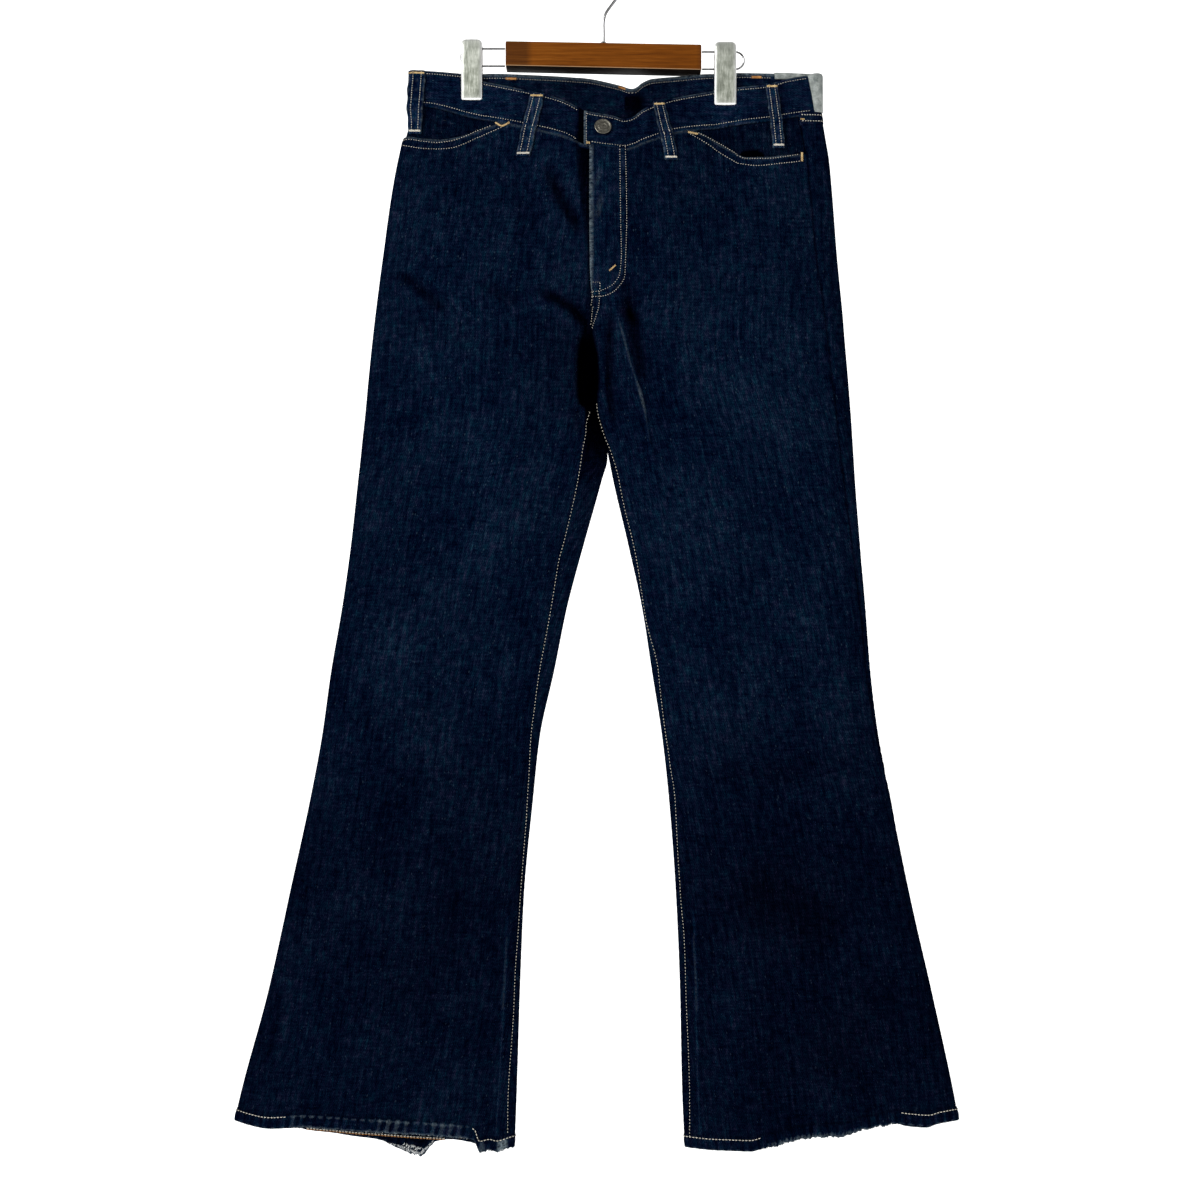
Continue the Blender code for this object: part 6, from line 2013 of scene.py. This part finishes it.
def plate_material():
    """Brushed satin plate: grey in the middle, with a near-white painted highlight along the rims."""
    m, tree, shader = material("satin_plate_painted_highlight")
    coord = node(tree, "TexCoord").outputs["Object"]
    tone = node(tree, "Attribute", attribute_name="tone").outputs["Fac"]
    brushed = noise(tree, scaled(tree, coord, (1500, 200, 130)), 1.0, 3.0, 0.6)
    cloud = noise(tree, coord, 90.0, 3.0, 0.6)
    v = maths(tree, "ADD", maths(tree, "MULTIPLY", brushed, 0.6), maths(tree, "MULTIPLY", cloud, 0.5))
    body = ramp(tree, v, [(0.38, (0.15, 0.165, 0.13)), (0.55, (0.33, 0.35, 0.29)), (0.70, (0.60, 0.62, 0.55))])
    # painted highlight: the tone attribute mixes the plate towards near-white
    colour = mix(tree, maths(tree, "MULTIPLY", tone, 0.9, True), body, (0.88, 0.89, 0.87))
    tree.links.new(colour, shader.inputs["Base Color"])
    shader.inputs["Metallic"].default_value = 0.75
    tree.links.new(maths(tree, "ADD", maths(tree, "MULTIPLY", brushed, 0.25), 0.28), shader.inputs["Roughness"])
    bump = node(tree, "Bump")
    bump.inputs["Strength"].default_value = 0.25
    bump.inputs["Distance"].default_value = 0.0002
    tree.links.new(v, bump.inputs["Height"])
    tree.links.new(bump.outputs[0], shader.inputs["Normal"])
    return m


PLATE_METAL = plate_material()
CLIPS = [("R", -141.5, -121.5, 76.5, 137.0), ("L", 111.0, 132.0, 79.0, 142.0)]
PROFILE = [(0.0, 6.0), (0.02, 6.9), (0.05, 7.6), (0.12, 8.2), (0.4, 8.4), (0.62, 8.0), (0.8, 7.2), (0.93, 6.7), (1.0, 6.4)]
for name, x0, x1, top, low in CLIPS:
    share = np.concatenate([np.linspace(0, 0.1, 12)[:-1], np.linspace(0.1, 0.95, 30), np.linspace(0.95, 1, 6)[1:]])[:, None]
    out = monotone([q[0] for q in PROFILE], [q[1] for q in PROFILE])(share)
    u = np.concatenate([np.linspace(-1, -0.86, 6)[:-1], np.linspace(-0.86, 0.86, 9), np.linspace(0.86, 1, 6)[1:]])[None, :]
    middle, half = (x0 + x1) / 2, (x1 - x0) / 2
    high = low - top
    fall = share * high
    corner = 5.2
    trim = np.where(fall < corner, corner - np.sqrt(np.clip(corner**2 - (corner - fall) ** 2, 0, None)), 0.0)
    rise = high - fall
    trim = trim + np.where(rise < 1.2, 1.2 - np.sqrt(np.clip(1.2**2 - (1.2 - rise) ** 2, 0, None)), 0.0)
    x = middle + u * (half - trim)
    border = np.minimum.reduce([(1 - np.abs(u)) * half + 0 * fall, fall + 0 * u, rise + 0 * u])
    roll = 0.9 * (1 - smooth(border / 1.6)) ** 1.5
    for face, sign in (("front", -1.0), ("back", 1.0)):
        y_out, y_in = sign * (out - roll), sign * (out - roll - 1.2)
        O = np.stack([x, y_out, -(top + fall) + 0 * x], -1)
        I = np.stack([x, y_in, -(top + fall) + 0 * x], -1)
        # painted highlight: near-white along the rims, strongest at the lower edge
        rim_painted_highlight = 1.6 * np.exp(-border / 0.8) + 0.7 * np.exp(-rise / 1.6) + 0.25 * np.exp(-fall / 12.0) + 0 * x
        plate = shell(f"clip_{face}_{name}", O, I, PLATE_METAL, tone=rim_painted_highlight)
        finish_piece(plate, "clip_steel", f"clip_{face}_{name}")

# The wooden bar: square edges barely eased, deeper than it is high.
BAR_FACE, BAR_BACK = -13.4, 13.4
stations = np.concatenate([[-97.4, -97.1, -96.4], np.linspace(-95, 95, 39), [96.3, 97.0, 97.3]])
inset = np.concatenate([[1.0, 0.35, 0.0], np.zeros(39), [0.0, 0.35, 1.0]])
ring = []
for cx, cz, a0 in ((1, 1, 0), (-1, 1, 90), (-1, -1, 180), (1, -1, 270)):
    for a in np.linspace(a0, a0 + 90, 6):
        ring.append((cx, cz, math.cos(math.radians(a)), math.sin(math.radians(a))))
verts, faces = [], []
for px, cut in zip(stations, inset):
    t = (px + 97.4) / 194.7
    high_d, low_d = 80.6 + 3.4 * t + cut, 105.1 + 4.3 * t - cut
    ease = 1.1
    for cx, cz, ca, sa in ring:
        y = cx * (BAR_BACK - cut - ease) + ease * ca
        z = -(high_d + ease) + ease * sa if cz > 0 else -(low_d - ease) + ease * sa
        verts.append((px, y, z))
n = len(ring)
for i in range(len(stations) - 1):
    for j in range(n):
        k = (j + 1) % n
        faces.append((i * n + j, (i + 1) * n + j, (i + 1) * n + k, i * n + k))
faces.append(tuple(range(n)))
faces.append(tuple((len(stations) - 1) * n + j for j in range(n))[::-1])
bar = mesh_piece("hanger_bar", verts, faces, WOOD, None, True, 50)
finish_piece(bar, "wood", "hanger_bar")
for name in ("hanger_hook", "hook_ferrule", "hanger_rail_R", "hanger_rail_L"):
    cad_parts[name].data.materials[0] = CHROME
    for slot_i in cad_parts[name].material_slots:
        slot_i.material = CHROME
for name in ("clip_spring_R", "clip_spring_L"):
    for slot_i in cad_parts[name].material_slots:
        slot_i.material = STEEL

# ================================================================ studio
scene = bpy.context.scene
scene.view_settings.view_transform = "Standard"
scene.view_settings.look = "None"
world = bpy.data.worlds.new("studio")
scene.world = world
world.use_nodes = True
world.node_tree.nodes["Background"].inputs[0].default_value = (1, 1, 1, 1)
world.node_tree.nodes["Background"].inputs[1].default_value = 0.45


def floor():
    mesh = bpy.data.meshes.new("studio_floor")
    w, near, back, z = 6.0, -6.0, 2.2, -1.45
    prof = [(near, z), (back, z)]
    for k in range(1, 13):
        a = math.pi / 2 * k / 12
        prof.append((back + 1.2 * math.sin(a), z + 1.2 * (1 - math.cos(a))))
    prof.append((back + 1.2, z + 6.0))
    verts = [(x, y, zz) for y, zz in prof for x in (-w, w)]
    faces = [(2 * i, 2 * i + 1, 2 * i + 3, 2 * i + 2) for i in range(len(prof) - 1)]
    mesh.from_pydata(verts, [], faces)
    m, tree, shader = material("studio_floor")
    shader.inputs["Base Color"].default_value = (0.93, 0.93, 0.925, 1)
    shader.inputs["Emission Color"].default_value = (1, 1, 1, 1)
    shader.inputs["Emission Strength"].default_value = 0.62
    shader.inputs["Roughness"].default_value = 0.9
    shader.inputs["Specular IOR Level"].default_value = 0.0
    mesh.materials.append(m)
    mesh.shade_smooth()
    obj = bpy.data.objects.new("studio_floor", mesh)
    scene.collection.objects.link(obj)


floor()


def area_light(name, at, target, size, power, size_y=None):
    data = bpy.data.lights.new(name, "AREA")
    data.energy = power
    data.shape = "RECTANGLE"
    data.size, data.size_y = size, size_y or size
    obj = bpy.data.objects.new(name, data)
    obj.location = at
    obj.rotation_euler = (Vector(target) - Vector(at)).to_track_quat("-Z", "Y").to_euler()
    scene.collection.objects.link(obj)
    return obj


area_light("key", (-1.7, -2.0, 0.5), (0, 0, -0.5), 0.9, 62.0, 1.3)
area_light("fill", (1.9, -2.4, -0.7), (0, 0, -0.6), 1.4, 16.0, 1.8)

cam = bpy.data.cameras.new("camera")
cam.lens, cam.sensor_width = 60.0, 36.0
cam.clip_start, cam.clip_end = 0.05, 50.0
camera = bpy.data.objects.new("camera", cam)
camera.location = (EYE[0] * MM, -EYE[2] * MM, -EYE[1] * MM)
camera.rotation_euler = (math.pi / 2, 0, 0)
scene.collection.objects.link(camera)
scene.camera = camera
